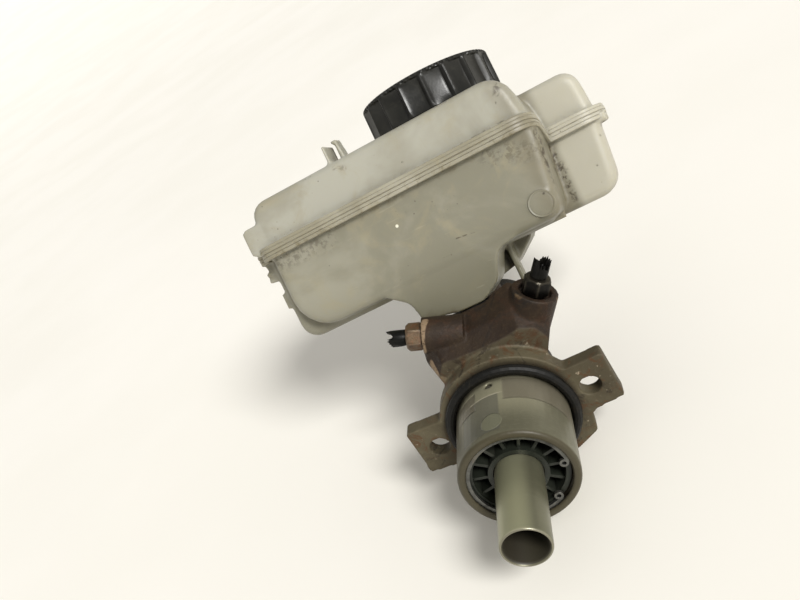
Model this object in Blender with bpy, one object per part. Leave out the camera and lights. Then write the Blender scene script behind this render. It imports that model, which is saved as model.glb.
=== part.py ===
"""Tandem brake master cylinder with its fluid reservoir, in metres.

+Y runs forward along the bore, to the closed end of the casting. The origin is on the bore axis, in the
flange face that the vacuum booster bolts to. The spigot and the tubular primary piston reach back from
there, along -Y. +Z is up from the bore, and the two mounting ears lie along X. The reservoir stands level
in the car while the bore climbs forward, so its own axes (u across, v forward, w up) lean by TILT.
"""

import math

import bmesh
import bpy
from mathutils import Matrix, Vector

# Every length below is in millimetres, and MM turns it into Blender's metres.
MM = 0.001
GAP = 0.3
FULL_TURN = 2 * math.pi

# Spigot, flange and barrel
SPIGOT_R = 29.5
SPIGOT_LENGTH = 47.0
MOUTH_R = 25.0
FLANGE_R = 38.0
FLANGE_THICKNESS = 9.0
EAR_REACH = 55.5
EAR_HALF_HEIGHT = 15.0
STUD_SPACING = 86.0
STUD_HOLE_R = 5.5
BARREL_R = 21.0
BARREL_ROOT_R = 26.0
BODY_END = 117.0
BORE_R = 12.2
BORE_END = 108.0
SEAL_BORE_R = 17.0
SEAL_BORE_END = 19.5
CUP_GROOVE_R = 16.7

# Pistons and their travel
PISTON_R = 11.9
SOCKET_R = 9.9
SPRING_POCKET_R = 8.8
PRIMARY_REAR = -88.9
PRIMARY_FRONT = 24.0
SECONDARY_REAR = 52.0
SECONDARY_FRONT = 86.0

# Reservoir, in its own axes
TILT = math.radians(25.0)
FRONT_V = 8.0
BACK_V = 96.0
SETBACK_V = 45.0
LEFT_STEP_V = 20.0
LEFT_U = -88.0
LEFT_BACK_U = -96.0
RIGHT_U = 72.5
SETBACK_U = 101.5
BOTTOM_W = 83.5
SEAM_W = 134.0
SETBACK_SEAM_W = 124.3
TOP_W = 162.3
SETBACK_TOP_W = 152.0
WALL = 2.6
SEAM_RIM = 4.5
SEAM_RIM_HALF = 3.4

# Ports between the reservoir and the casting
REAR_INLET_V = 24.0
FRONT_INLET_V = 57.0
INLET_BOSS_R = 13.0
INLET_BORE_R = 9.3
REAR_INLET_TOP = 57.0
FRONT_INLET_TOP = 62.5
REAR_INLET_DEPTH = 20.0
FRONT_INLET_DEPTH = 9.5
SPIGOT_PIPE_R = 6.5
PIN_V = 40.5
PIN_W = 50.0
PIN_R = 2.0
LEG_U = 30.0

# Brake pipe outlets: where the axis leaves the boss face, and its angle above the horizontal
OUTLET_Y = 25.0
RIGHT_OUTLET_REACH = 62.4
RIGHT_OUTLET_ANGLE = math.radians(52.0)
RIGHT_BOSS_R = 12.2
LEFT_FACE = (-25.2, 52.0)
LEFT_OUTLET_ANGLE = math.radians(158.0)
LEFT_BOSS_R = 9.8
NUT_ACROSS_FLATS = 13.0

# Filler neck and cap
CAP_U = 23.7
CAP_V = 55.7
CAP_R = 38.9
CAP_BOTTOM_W = 163.0
CAP_TOP_W = 183.9
CAP_LOBES = 18
CAP_PHASE = 0.6
NECK_R = 32.0
NECK_BORE_R = 28.5
NECK_TOP_W = 177.6

# Level sensor and float
SENSOR_V = 76.0
SENSOR_W = 120.0
FLOAT_U = -60.0
FLOAT_V = 55.0
FLOAT_R = 11.0

# Small outside features of the reservoir
DISC_U = 59.2
DISC_W = 93.0
DISC_R = 6.8
DISC_RISE = 0.5
LATCH_TEETH = ((-98.7, 128.6), (-100.6, 124.6), (-100.6, 120.6))
CLIP_V = 12.0


def material(name, colour, roughness, metallic=0.0):
    """A Principled BSDF finish, made once for each piece."""
    made = bpy.data.materials.new(name)
    made.use_nodes = True
    shader = made.node_tree.nodes["Principled BSDF"]
    shader.inputs["Base Color"].default_value = (*colour, 1.0)
    shader.inputs["Roughness"].default_value = roughness
    shader.inputs["Metallic"].default_value = metallic
    made.diffuse_color = (*colour, 1.0)
    return made


IRON = ((0.16, 0.10, 0.075), 0.7, 0.3)
STEEL = ((0.45, 0.45, 0.43), 0.4, 1.0)
SPRING_STEEL = ((0.35, 0.35, 0.36), 0.35, 1.0)
ALUMINIUM = ((0.42, 0.43, 0.34), 0.35, 0.9)
RUBBER = ((0.02, 0.02, 0.022), 0.6, 0.0)
BLACK_PLASTIC = ((0.03, 0.032, 0.035), 0.5, 0.0)
WHITE_PLASTIC = ((0.62, 0.59, 0.47), 0.45, 0.0)
RUSTY_STEEL = ((0.33, 0.2, 0.12), 0.75, 0.5)
DARK_STEEL = ((0.05, 0.05, 0.045), 0.5, 0.7)
BRASS = ((0.7, 0.52, 0.25), 0.35, 1.0)


def axes(name, location=(0.0, 0.0, 0.0), rotation=(0.0, 0.0, 0.0)):
    """An empty that carries a set of axes for the pieces under it."""
    empty = bpy.data.objects.new(name, None)
    empty.location = Vector(location) * MM
    empty.rotation_euler = rotation
    bpy.context.scene.collection.objects.link(empty)
    return empty


def piece(name, mesh, parent, finish=None, location=(0.0, 0.0, 0.0), rotation=(0.0, 0.0, 0.0)):
    """Turns a bmesh drawn in millimetres into an object. Without a finish it is a cutter or a helper."""
    bmesh.ops.remove_doubles(mesh, verts=mesh.verts, dist=0.001)
    bmesh.ops.recalc_face_normals(mesh, faces=mesh.faces)
    bmesh.ops.scale(mesh, vec=(MM, MM, MM), verts=mesh.verts)
    data = bpy.data.meshes.new(name)
    mesh.to_mesh(data)
    mesh.free()
    data.shade_smooth()
    data.set_sharp_from_angle(angle=math.radians(32.0))
    made = bpy.data.objects.new(name, data)
    made.parent = parent
    made.location = Vector(location) * MM
    made.rotation_euler = rotation
    bpy.context.scene.collection.objects.link(made)
    if finish is None:
        made.hide_render = True
        made.display_type = "WIRE"
    else:
        data.materials.append(material(name, *finish))
    return made


def combine(target, other, operation):
    """Adds or cuts another object through a Boolean modifier that stays on the target."""
    modifier = target.modifiers.new(other.name, "BOOLEAN")
    modifier.operation = operation
    modifier.solver = "EXACT"
    modifier.object = other


def add(target, *others):
    for other in others:
        combine(target, other, "UNION")


def cut(target, *others):
    for other in others:
        combine(target, other, "DIFFERENCE")


def turned(name, outline, parent, finish=None, steps=40, **place):
    """A closed outline of (radius, height) points turned about its own Z."""
    mesh = bmesh.new()
    points = [mesh.verts.new((radius, 0.0, height)) for radius, height in outline]
    edges = []
    for first, second in zip(points, points[1:] + points[:1]):
        if first.co.x > 0.0 or second.co.x > 0.0:
            edges.append(mesh.edges.new((first, second)))
    bmesh.ops.spin(
        mesh,
        geom=points + edges,
        cent=(0.0, 0.0, 0.0),
        axis=(0.0, 0.0, 1.0),
        angle=FULL_TURN,
        steps=steps,
        use_merge=True,
    )
    return piece(name, mesh, parent, finish, **place)


def rod(name, radius, low, high, parent, finish=None, steps=24, **place):
    """A plain cylinder along its own Z."""
    outline = [(0.0, low), (radius, low), (radius, high), (0.0, high)]
    return turned(name, outline, parent, finish, steps, **place)


def rounded(corners, steps=4):
    """Points round a polygon of (x, y, radius) corners, with an arc in each corner that has a radius."""
    points = []
    for index, (x, y, radius) in enumerate(corners):
        here = Vector((x, y))
        before = Vector(corners[index - 1][:2]) - here
        after = Vector(corners[(index + 1) % len(corners)][:2]) - here
        half = before.angle(after) / 2
        if radius <= 0.0:
            points.append((x, y))
            continue
        before.normalize()
        after.normalize()
        centre = here + (before + after).normalized() * radius / math.sin(half)
        start = here + before * radius / math.tan(half) - centre
        sweep = start.angle_signed(here + after * radius / math.tan(half) - centre)
        for step in range(steps + 1):
            arm = start.copy()
            arm.rotate(Matrix.Rotation(-sweep * step / steps, 2))
            points.append(tuple(centre + arm))
    return points


def prism(name, outline, low, high, parent, finish=None, **place):
    """An outline of (x, y) points extruded along its own Z."""
    mesh = bmesh.new()
    base = mesh.faces.new([mesh.verts.new((x, y, low)) for x, y in outline])
    raised = bmesh.ops.extrude_face_region(mesh, geom=[base])["geom"]
    moved = [item for item in raised if isinstance(item, bmesh.types.BMVert)]
    bmesh.ops.translate(mesh, vec=(0.0, 0.0, high - low), verts=moved)
    return piece(name, mesh, parent, finish, **place)


def block(name, low, high, parent, finish=None, **place):
    """A box between two opposite corners."""
    outline = [(low[0], low[1]), (high[0], low[1]), (high[0], high[1]), (low[0], high[1])]
    return prism(name, outline, low[2], high[2], parent, finish, **place)


def lofted(name, sections, parent, finish=None, **place):
    """A closed skin through sections of (height, points) that all have the same number of points."""
    mesh = bmesh.new()
    rings = []
    for height, outline in sections:
        rings.append([mesh.verts.new((x, y, height)) for x, y in outline])
    for lower, upper in zip(rings, rings[1:]):
        for index in range(len(lower)):
            following = (index + 1) % len(lower)
            mesh.faces.new((lower[index], lower[following], upper[following], upper[index]))
    mesh.faces.new(rings[0])
    mesh.faces.new(rings[-1])
    return piece(name, mesh, parent, finish, **place)


def several(name, outlines, low, high, parent, **place):
    """A cutter of separate prisms that stand side by side."""
    mesh = bmesh.new()
    for outline in outlines:
        base = mesh.faces.new([mesh.verts.new((x, y, low)) for x, y in outline])
        raised = bmesh.ops.extrude_face_region(mesh, geom=[base])["geom"]
        moved = [item for item in raised if isinstance(item, bmesh.types.BMVert)]
        bmesh.ops.translate(mesh, vec=(0.0, 0.0, high - low), verts=moved)
    return piece(name, mesh, parent, **place)


def arc(radius, start, end, steps, centre=(0.0, 0.0)):
    """Points along an arc, with both ends."""
    points = []
    for step in range(steps + 1):
        angle = start + (end - start) * step / steps
        points.append((centre[0] + radius * math.cos(angle), centre[1] + radius * math.sin(angle)))
    return points


def coil(name, radius, wire_r, low, high, turns, parent, finish, per_turn=12, sides=6):
    """A compression spring along its own Z, with its last turn at each end wound nearly flat."""
    mesh = bmesh.new()
    count = int(turns * per_turn)
    flat = per_turn
    pitch = (high - low - 2 * wire_r) / (count - 2 * flat * 0.7)
    height = low + wire_r
    rings = []
    for step in range(count + 1):
        angle = FULL_TURN * step / per_turn
        centre = Vector((radius * math.cos(angle), radius * math.sin(angle), height))
        outward = Vector((math.cos(angle), math.sin(angle), 0.0))
        ring = []
        for side in range(sides):
            around = FULL_TURN * side / sides
            offset = outward * math.cos(around) + Vector((0.0, 0.0, math.sin(around)))
            ring.append(mesh.verts.new(centre + offset * wire_r))
        rings.append(ring)
        height += pitch * (0.3 if step < flat or step >= count - flat else 1.0)
    for first, second in zip(rings, rings[1:]):
        for side in range(sides):
            following = (side + 1) % sides
            mesh.faces.new((first[side], first[following], second[following], second[side]))
    mesh.faces.new(rings[0])
    mesh.faces.new(rings[-1])
    return piece(name, mesh, parent, finish)


def build_casting(bore, plates, reservoir):
    """The cast body: spigot, flange, barrel, inlet and outlet bosses, and the bores inside them."""
    outside = [
        (0.0, -SPIGOT_LENGTH),
        (SPIGOT_R - 1.2, -SPIGOT_LENGTH),
        (SPIGOT_R, -SPIGOT_LENGTH + 1.2),
        (SPIGOT_R, 4.0),
        (BARREL_ROOT_R, 4.0),
        (BARREL_ROOT_R, 40.0),
        (BARREL_R, 50.0),
        (BARREL_R, BODY_END - 9.0),
        (BARREL_R - 4.0, BODY_END - 2.0),
        (BARREL_R - 9.0, BODY_END),
        (0.0, BODY_END),
    ]
    body = turned("cylinder_body", outside, bore, IRON, steps=48)
    add(body, *casting_lumps(bore, plates, reservoir))
    cut(body, *casting_hollows(bore, plates, reservoir))
    # The exact solver leaves cracks where the last drillings meet the inlets.
    drillings = ("cut_secondary_feed", "cut_primary_feed", "cut_feed_drilling", "cut_pin_hole")
    for name in ("cut_front_inlet", *drillings):
        body.modifiers[name].solver = "MANIFOLD"
    return body


def flange_outline():
    """Half of the flange by hand, mirrored: a round top, a square-cut ear and a cropped lower lobe."""
    meet = math.asin(EAR_HALF_HEIGHT / FLANGE_R)
    top = arc(FLANGE_R, math.pi / 2, meet + 0.12, 8)
    ear = rounded(
        [
            (FLANGE_R * math.cos(meet) + 0.4, EAR_HALF_HEIGHT, 0.0),
            (EAR_REACH, EAR_HALF_HEIGHT + 0.6, 1.6),
            (EAR_REACH + 0.6, -EAR_HALF_HEIGHT + 1.4, 1.6),
            (40.6, -EAR_HALF_HEIGHT, 2.5),
            (37.0, -17.0, 1.0),
            (35.0, -28.0, 1.5),
            (21.0, -35.0, 2.0),
            (0.0, -36.0, 0.0),
        ],
        steps=3,
    )
    right = top + ear
    left = [(-x, z) for x, z in reversed(right) if abs(x) > 0.01]
    return right + left


def outlet_arms(saddle, left, spread, tuck):
    """A section of the outlet arms and the saddle between them, as (x, z). The right arm is tucked in."""
    return rounded(
        [
            (-20.0, 8.0, 0.0),
            (left + 2.0, 16.0, 4.0),
            (left, saddle - 6.0, 4.0),
            (-19.5 - spread, saddle + 1.0 + 1.5 * spread, 2.0),
            (-12.5 - spread / 2, saddle + 0.6 + 0.8 * spread, 3.0),
            (-3.0, saddle, 5.0),
            (11.0, saddle, 6.0),
            (18.0 + spread / 2, saddle + 0.6 + spread, 3.0),
            (24.0 + spread, saddle + 2.0 + 1.2 * spread, 2.5),
            (36.5 - tuck, 43.0 - tuck, 4.0),
            (40.0 - tuck, 34.0 - tuck, 3.0),
            (27.0, 14.0, 6.0),
            (20.0, 8.0, 0.0),
        ],
        steps=3,
    )


def outlet_axis(face, angle):
    """Place for a piece whose Z leaves a boss face at an angle above +X, in the plane of the outlets."""
    return {
        "location": (face[0], OUTLET_Y, face[1]),
        "rotation": (0.0, math.pi / 2 - angle, 0.0),
    }


def right_face():
    return (
        RIGHT_OUTLET_REACH * math.cos(RIGHT_OUTLET_ANGLE),
        RIGHT_OUTLET_REACH * math.sin(RIGHT_OUTLET_ANGLE),
    )


def casting_lumps(bore, plates, reservoir):
    """Everything that is added to the turned body before its bores are cut."""
    thick = FLANGE_THICKNESS
    flange = prism("add_flange", flange_outline(), -thick, 0.0, plates)
    far = (-33.4, outlet_arms(51.0, -31.0, 2.8, 0.0))
    middle = (-19.0, outlet_arms(46.8, -29.5, 1.0, 1.0))
    near = (-9.4, outlet_arms(39.6, -25.0, 0.0, 5.0))
    sections = [far, middle, near]
    arms = lofted("add_outlet_arms", sections, plates)
    place = outlet_axis(right_face(), RIGHT_OUTLET_ANGLE)
    right = rod("add_right_outlet", RIGHT_BOSS_R, -42.0, 0.0, None, **place)
    place = outlet_axis(LEFT_FACE, LEFT_OUTLET_ANGLE)
    left = rod("add_left_outlet", LEFT_BOSS_R, -22.0, 0.0, None, **place)
    place = {"location": (0.0, REAR_INLET_V, 0.0)}
    rear = rod("add_rear_inlet", INLET_BOSS_R, 16.0, REAR_INLET_TOP, reservoir, **place)
    place = {"location": (0.0, FRONT_INLET_V, 0.0)}
    front = rod("add_front_inlet", INLET_BOSS_R, 30.0, FRONT_INLET_TOP, reservoir, **place)
    lug = block("add_pin_lug", (-8.0, PIN_V - 5.0, 30.0), (8.0, PIN_V + 5.0, PIN_W + 5.0), reservoir)
    gallery = rod("add_gallery", 6.0, 20.0, 99.0, bore, location=(-17.0, 0.0, 17.0))
    return flange, arms, right, left, rear, front, lug, gallery


def casting_hollows(bore, plates, reservoir):
    """The stepped bore, the seal grooves, the ports and the drilled passages."""
    inside = [
        (0.0, -SPIGOT_LENGTH - 1.0),
        (MOUTH_R + 2.2, -SPIGOT_LENGTH - 1.0),
        (MOUTH_R, -SPIGOT_LENGTH + 1.2),
        (MOUTH_R, -45.4),
        (MOUTH_R + 1.4, -45.4),
        (MOUTH_R + 1.4, -43.3),
        (MOUTH_R, -43.3),
        (MOUTH_R, -24.0),
        (SEAL_BORE_R, -24.0),
        (SEAL_BORE_R, -12.0),
        (21.5, -12.0),
        (21.5, -4.0),
        (SEAL_BORE_R, -4.0),
        (SEAL_BORE_R, SEAL_BORE_END),
        (BORE_R, SEAL_BORE_END),
        (BORE_R, 57.0),
        (CUP_GROOVE_R, 57.0),
        (CUP_GROOVE_R, 62.5),
        (BORE_R, 62.5),
        (BORE_R, 65.0),
        (15.2, 65.0),
        (15.2, 73.0),
        (BORE_R, 73.0),
        (BORE_R, 76.0),
        (CUP_GROOVE_R, 76.0),
        (CUP_GROOVE_R, 81.5),
        (BORE_R, 81.5),
        (BORE_R, BORE_END),
        (0.0, BORE_END),
    ]
    hollows = [turned("cut_bore", inside, bore, steps=48)]
    for side in (-1.0, 1.0):
        place = {"location": (side * STUD_SPACING / 2, 0.0, 0.0)}
        hollows.append(rod("cut_stud_hole", STUD_HOLE_R, -2.0, FLANGE_THICKNESS + 2.0, bore, **place))
    recess = [(0.0, -22.0), (4.9, -22.0), (4.9, -3.0), (8.4, -3.0), (8.4, 1.0), (0.0, 1.0)]
    place = outlet_axis(right_face(), RIGHT_OUTLET_ANGLE)
    hollows.append(turned("cut_right_outlet", recess, None, **place))
    hollows.append(rod("cut_primary_port", 2.0, -52.0, -20.0, None, **place))
    port = [(0.0, -18.0), (4.9, -18.0), (4.9, -0.5), (8.0, -0.5), (8.0, 1.0), (0.0, 1.0)]
    hollows.append(turned("cut_left_outlet", port, None, **outlet_axis(LEFT_FACE, LEFT_OUTLET_ANGLE)))
    hollows.append(rod("cut_left_drop", 2.0, 15.0, 50.0, None, location=(-17.0, OUTLET_Y, 0.0)))
    hollows.append(rod("cut_gallery", 2.0, OUTLET_Y - 2.0, 92.0, bore, location=(-17.0, 0.0, 17.0)))
    link = {"location": (0.0, 90.0, 0.0), "rotation": (0.0, -math.pi / 4, 0.0)}
    hollows.append(rod("cut_secondary_port", 2.0, 8.0, 25.0, None, **link))
    for name, v, top, depth in (
        ("cut_rear_inlet", REAR_INLET_V, REAR_INLET_TOP, REAR_INLET_DEPTH),
        ("cut_front_inlet", FRONT_INLET_V, FRONT_INLET_TOP, FRONT_INLET_DEPTH),
    ):
        place = {"location": (0.0, v, 0.0)}
        hollows.append(rod(name, INLET_BORE_R, top - depth, top + 1.0, reservoir, steps=32, **place))
    hollows.append(rod("cut_secondary_feed", 3.0, 30.0, 54.0, reservoir, **place))
    hollows.append(rod("cut_primary_feed", 1.8, -8.0, 38.0, bore, location=(0.0, 0.0, 22.5)))
    hollows.append(rod("cut_feed_drilling", 1.8, 16.0, 31.0, None, location=(0.0, -8.0, 0.0)))
    hollows.append(rod("cut_pin_hole", PIN_R + GAP, -12.0, 12.0, reservoir, **across_place(PIN_V, PIN_W)))
    return hollows


def build_spigot_pieces(bore):
    """What sits on and in the spigot, from the flange seal to the circlip."""
    centre = (SPIGOT_R + GAP + 2.7, -3.0)
    section = arc(2.7, 0.0, FULL_TURN * 11 / 12, 11, centre)
    turned("flange_o_ring", section, bore, RUBBER, steps=48)
    guide = [
        (12.3, -24.3),
        (12.3, -42.5),
        (14.8, -42.5),
        (14.8, -40.5),
        (22.2, -40.5),
        (22.2, -43.0),
        (24.7, -43.0),
        (24.7, -24.3),
    ]
    ring = turned("piston_guide", guide, bore, BLACK_PLASTIC, steps=42)
    pockets = []
    count = 14
    for index in range(count):
        middle = FULL_TURN * index / count
        outer = math.asin(0.5 / count * FULL_TURN - 0.8 / 22.2)
        inner = math.asin(0.5 / count * FULL_TURN - 0.8 / 14.8)
        pocket = arc(22.2, middle - outer, middle + outer, 2) + arc(14.8, middle + inner, middle - inner, 2)
        pockets.append(pocket)
    cut(ring, several("cut_guide_pockets", pockets, -44.0, -27.0, bore))
    build_circlip(bore)
    cups = (
        ("vacuum_seal", -23.6, -15.0, SEAL_BORE_R),
        ("primary_cup", 12.9, 19.2, SEAL_BORE_R),
        ("secondary_rear_cup", 57.3, 62.2, CUP_GROOVE_R),
        ("secondary_cup", 76.3, 81.2, CUP_GROOVE_R),
    )
    for name, low, high, outer in cups:
        lip = 1.6
        outline = [
            (BORE_R, low),
            (outer - GAP, low),
            (outer - GAP, high),
            (outer - GAP - 1.0, high),
            (outer - GAP - 1.5, low + lip),
            (BORE_R + 1.5, low + lip),
            (BORE_R + 1.0, high),
            (BORE_R, high),
        ]
        turned(name, outline, bore, RUBBER, steps=36)
    sleeve_outline = [(12.5, -14.7), (16.7, -14.7), (16.7, 12.6), (12.5, 12.6)]
    sleeve = turned("supply_sleeve", sleeve_outline, bore, STEEL, steps=36)
    for index in range(3):
        angle = math.pi / 2 + index * math.pi / 3
        across = {"location": (0.0, -8.0, 0.0), "rotation": (0.0, angle, 0.0)}
        cut(sleeve, rod("cut_sleeve_hole", 2.0, -20.0, 20.0, None, steps=12, **across))
    rod("supply_hole_plug", 1.5, 24.9, 28.3, None, STEEL, steps=16, location=(0.0, -8.0, 0.0))


def build_circlip(bore):
    """An internal retaining ring with an eyelet at each end of its gap."""
    low, high = -45.2, -43.5
    eye_r = 22.4
    first, last = math.radians(4.0), math.radians(59.0)
    band = arc(26.1, last, first + FULL_TURN, 40) + arc(23.4, first + FULL_TURN, last, 40)
    ring = prism("circlip", band, low, high, bore, SPRING_STEEL)
    for angle in (first, last):
        centre = (eye_r * math.cos(angle), eye_r * math.sin(angle), 0.0)
        add(ring, rod("add_eyelet", 2.3, low, high, bore, steps=16, location=centre))
        cut(ring, rod("cut_eyelet", 1.1, low - 1.0, high + 1.0, bore, steps=10, location=centre))


def build_pistons(bore):
    """Both pistons, their springs and the captive link between them."""
    outline = [
        (0.0, -34.0),
        (SOCKET_R, -34.0),
        (SOCKET_R, PRIMARY_REAR + 1.0),
        (SOCKET_R + 0.7, PRIMARY_REAR),
        (PISTON_R - 0.8, PRIMARY_REAR),
        (PISTON_R, PRIMARY_REAR + 0.8),
        (PISTON_R, PRIMARY_FRONT),
        (SPRING_POCKET_R, PRIMARY_FRONT),
        (SPRING_POCKET_R, -20.0),
        (0.0, -20.0),
    ]
    primary = turned("primary_piston", outline, bore, ALUMINIUM, steps=40)
    cross_drill(primary, "cut_primary_hole", 10.0)
    outline = [
        (0.0, SECONDARY_REAR),
        (PISTON_R - 0.6, SECONDARY_REAR),
        (PISTON_R, SECONDARY_REAR + 0.6),
        (PISTON_R, SECONDARY_FRONT),
        (SPRING_POCKET_R, SECONDARY_FRONT),
        (SPRING_POCKET_R, 62.0),
        (0.0, 62.0),
    ]
    secondary = turned("secondary_piston", outline, bore, ALUMINIUM, steps=40)
    cross_drill(secondary, "cut_secondary_hole", 74.0)
    screw = [
        (0.0, -19.7),
        (4.0, -19.7),
        (4.0, -17.5),
        (1.8, -17.5),
        (1.8, 30.0),
        (3.6, 30.0),
        (3.6, 33.0),
        (0.0, 33.0),
    ]
    turned("captive_screw", screw, bore, STEEL, steps=20)
    retainer = [
        (2.3, 26.0),
        (5.3, 26.0),
        (5.3, 50.0),
        (8.4, 50.0),
        (8.4, 51.7),
        (4.1, 51.7),
        (4.1, 28.0),
        (2.3, 28.0),
    ]
    turned("spring_retainer", retainer, bore, STEEL, steps=24)
    coil("primary_spring", 7.1, 0.8, -17.2, 49.7, 10, bore, SPRING_STEEL, per_turn=10, sides=5)
    coil("secondary_spring", 7.4, 0.9, 62.3, BORE_END - GAP, 7, bore, SPRING_STEEL, per_turn=10, sides=5)


def cross_drill(piston, name, y):
    """Four small compensating holes through a piston's wall."""
    for index in range(2):
        place = {"location": (0.0, y, 0.0), "rotation": (0.0, math.pi / 4 + index * math.pi / 2, 0.0)}
        cut(piston, rod(name, 1.0, -14.0, 14.0, None, steps=8, **place))


def offset(corners, inward):
    """The same corners with every side moved inwards and every arc kept about its own centre."""
    count = len(corners)
    points = [Vector(corner[:2]) for corner in corners]
    area = sum(points[index - 1].cross(points[index]) for index in range(count))
    side = 1.0 if area > 0.0 else -1.0
    moved = []
    for index, (x, y, radius) in enumerate(corners):
        arriving = (points[index] - points[index - 1]).normalized()
        leaving = (points[(index + 1) % count] - points[index]).normalized()
        normal_a = Vector((-arriving.y, arriving.x)) * side
        normal_b = Vector((-leaving.y, leaving.x)) * side
        shift = (normal_a + normal_b) * inward / (1.0 + normal_a.dot(normal_b))
        outer = arriving.cross(leaving) * side > 0.0
        bent = radius - inward if outer else radius + inward
        moved.append((x + shift.x, y + shift.y, max(bent, 0.2) if radius else 0.0))
    return moved


def seam_plan():
    """The reservoir's outline at its seam, seen from above, as (u, v, radius)."""
    return [
        (LEFT_U, FRONT_V, 5.0),
        (RIGHT_U - 2.5, FRONT_V, 10.0),
        (RIGHT_U - 2.5, SETBACK_V, 5.0),
        (SETBACK_U, SETBACK_V, 10.0),
        (SETBACK_U, BACK_V, 12.0),
        (LEFT_BACK_U, BACK_V, 12.0),
        (LEFT_BACK_U, LEFT_STEP_V, 5.0),
        (LEFT_U, LEFT_STEP_V, 3.0),
    ]


def moulded(name, corners, front, back, edge, inset, reservoir, finish=None, far=None):
    """A block with a front outline of (u, w, radius) corners, and with rounded front and back edges."""
    steps = 3
    near_side, far_side = [], []
    for step in range(steps + 1):
        angle = math.pi / 2 * step / steps
        inward = inset + edge * (1.0 - math.sin(angle))
        reach = inset + edge * (1.0 - math.cos(angle))
        near_side.append((-front - reach, rounded(offset(corners, inward), 5)))
        far_side.append((-back + reach, rounded(offset(far or corners, inward), 5)))
    sections = near_side + far_side[::-1]
    return lofted(name, sections, reservoir, finish, rotation=(math.pi / 2, 0.0, 0.0))


def upright(name, outline, front, back, reservoir, finish=None):
    """An outline of (u, w) points extruded along v, from front to back."""
    return prism(name, outline, -back, -front, reservoir, finish, rotation=(math.pi / 2, 0.0, 0.0))


def ease(share):
    """A smooth step from 0 to 1."""
    share = min(max(share, 0.0), 1.0)
    return share * share * (3.0 - 2.0 * share)


def seam_height(u, v):
    """The level of the seam. It drops round the front right corner, down to the setback block."""
    drop = ease((u - RIGHT_U + 10.0) / 10.0) * ease((v - FRONT_V + 3.0) / (SETBACK_V - FRONT_V))
    return SEAM_W - (SEAM_W - SETBACK_SEAM_W) * drop


def beyond_seam(name, offset_w, level, reservoir):
    """Everything between a flat level and a surface that follows the seam at an offset."""
    across = [-130.0, RIGHT_U - 10.0, RIGHT_U - 7.5, RIGHT_U - 5.0, RIGHT_U - 2.5, RIGHT_U, 130.0]
    along = [-20.0, 5.0, 11.0, 17.0, 24.0, 30.0, 36.0, 42.0, 130.0]
    mesh = bmesh.new()
    wavy, flat = [], []
    for v in along:
        wavy.append([mesh.verts.new((u, v, seam_height(u, v) + offset_w)) for u in across])
        flat.append([mesh.verts.new((u, v, level)) for u in across])
    for row in range(len(along) - 1):
        for column in range(len(across) - 1):
            for grid in (wavy, flat):
                first, second = grid[row][column], grid[row][column + 1]
                third, fourth = grid[row + 1][column + 1], grid[row + 1][column]
                mesh.faces.new((first, second, third))
                mesh.faces.new((first, third, fourth))
    for row in range(len(along) - 1):
        for column in (0, -1):
            low, high = flat[row][column], flat[row + 1][column]
            mesh.faces.new((low, high, wavy[row + 1][column], wavy[row][column]))
    for column in range(len(across) - 1):
        for row in (0, -1):
            low, high = flat[row][column], flat[row][column + 1]
            mesh.faces.new((low, high, wavy[row][column + 1], wavy[row][column]))
    return piece(name, mesh, reservoir)


def seam_band(name, low, high, reservoir):
    """One half of the welded rim: a wider outline, between two levels beside the seam."""
    outline = rounded(offset(seam_plan(), -SEAM_RIM))
    band = prism(name, outline, SETBACK_SEAM_W - 12.0, SEAM_W + 12.0, reservoir)
    cut(band, beyond_seam(name + "_top", high, 190.0, reservoir))
    cut(band, beyond_seam(name + "_foot", low, 60.0, reservoir))
    return band


def lower_blocks(name, inset, reservoir, finish=None):
    """The three blocks that make up the lower moulding, grown or shrunk by inset."""
    front = [
        (LEFT_U, 150.0, 0.0),
        (LEFT_U, BOTTOM_W, 21.0),
        (RIGHT_U - 5.5, BOTTOM_W, 7.4),
        (RIGHT_U, SETBACK_SEAM_W, 0.0),
        (RIGHT_U, 150.0, 0.0),
    ]
    back = [
        (LEFT_BACK_U, 150.0, 0.0),
        (LEFT_BACK_U + 1.0, BOTTOM_W - 3.2, 10.0),
        (RIGHT_U - 10.5, BOTTOM_W - 1.5, 6.0),
        (RIGHT_U - 6.0, 150.0, 0.0),
    ]
    setback = [
        (20.0, 150.0, 0.0),
        (20.0, BOTTOM_W - 1.5, 0.0),
        (SETBACK_U - 4.0, BOTTOM_W - 1.5, 12.0),
        (SETBACK_U, SETBACK_SEAM_W, 0.0),
        (SETBACK_U, 150.0, 0.0),
    ]
    whole = moulded(name, front, FRONT_V, BACK_V - 30.0, 5.0, inset, reservoir, finish)
    add(whole, moulded(name + "_back", back, LEFT_STEP_V, BACK_V, 5.0, inset, reservoir))
    add(whole, moulded(name + "_setback", setback, SETBACK_V, BACK_V - 0.4, 5.0, inset, reservoir))
    return whole


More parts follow.
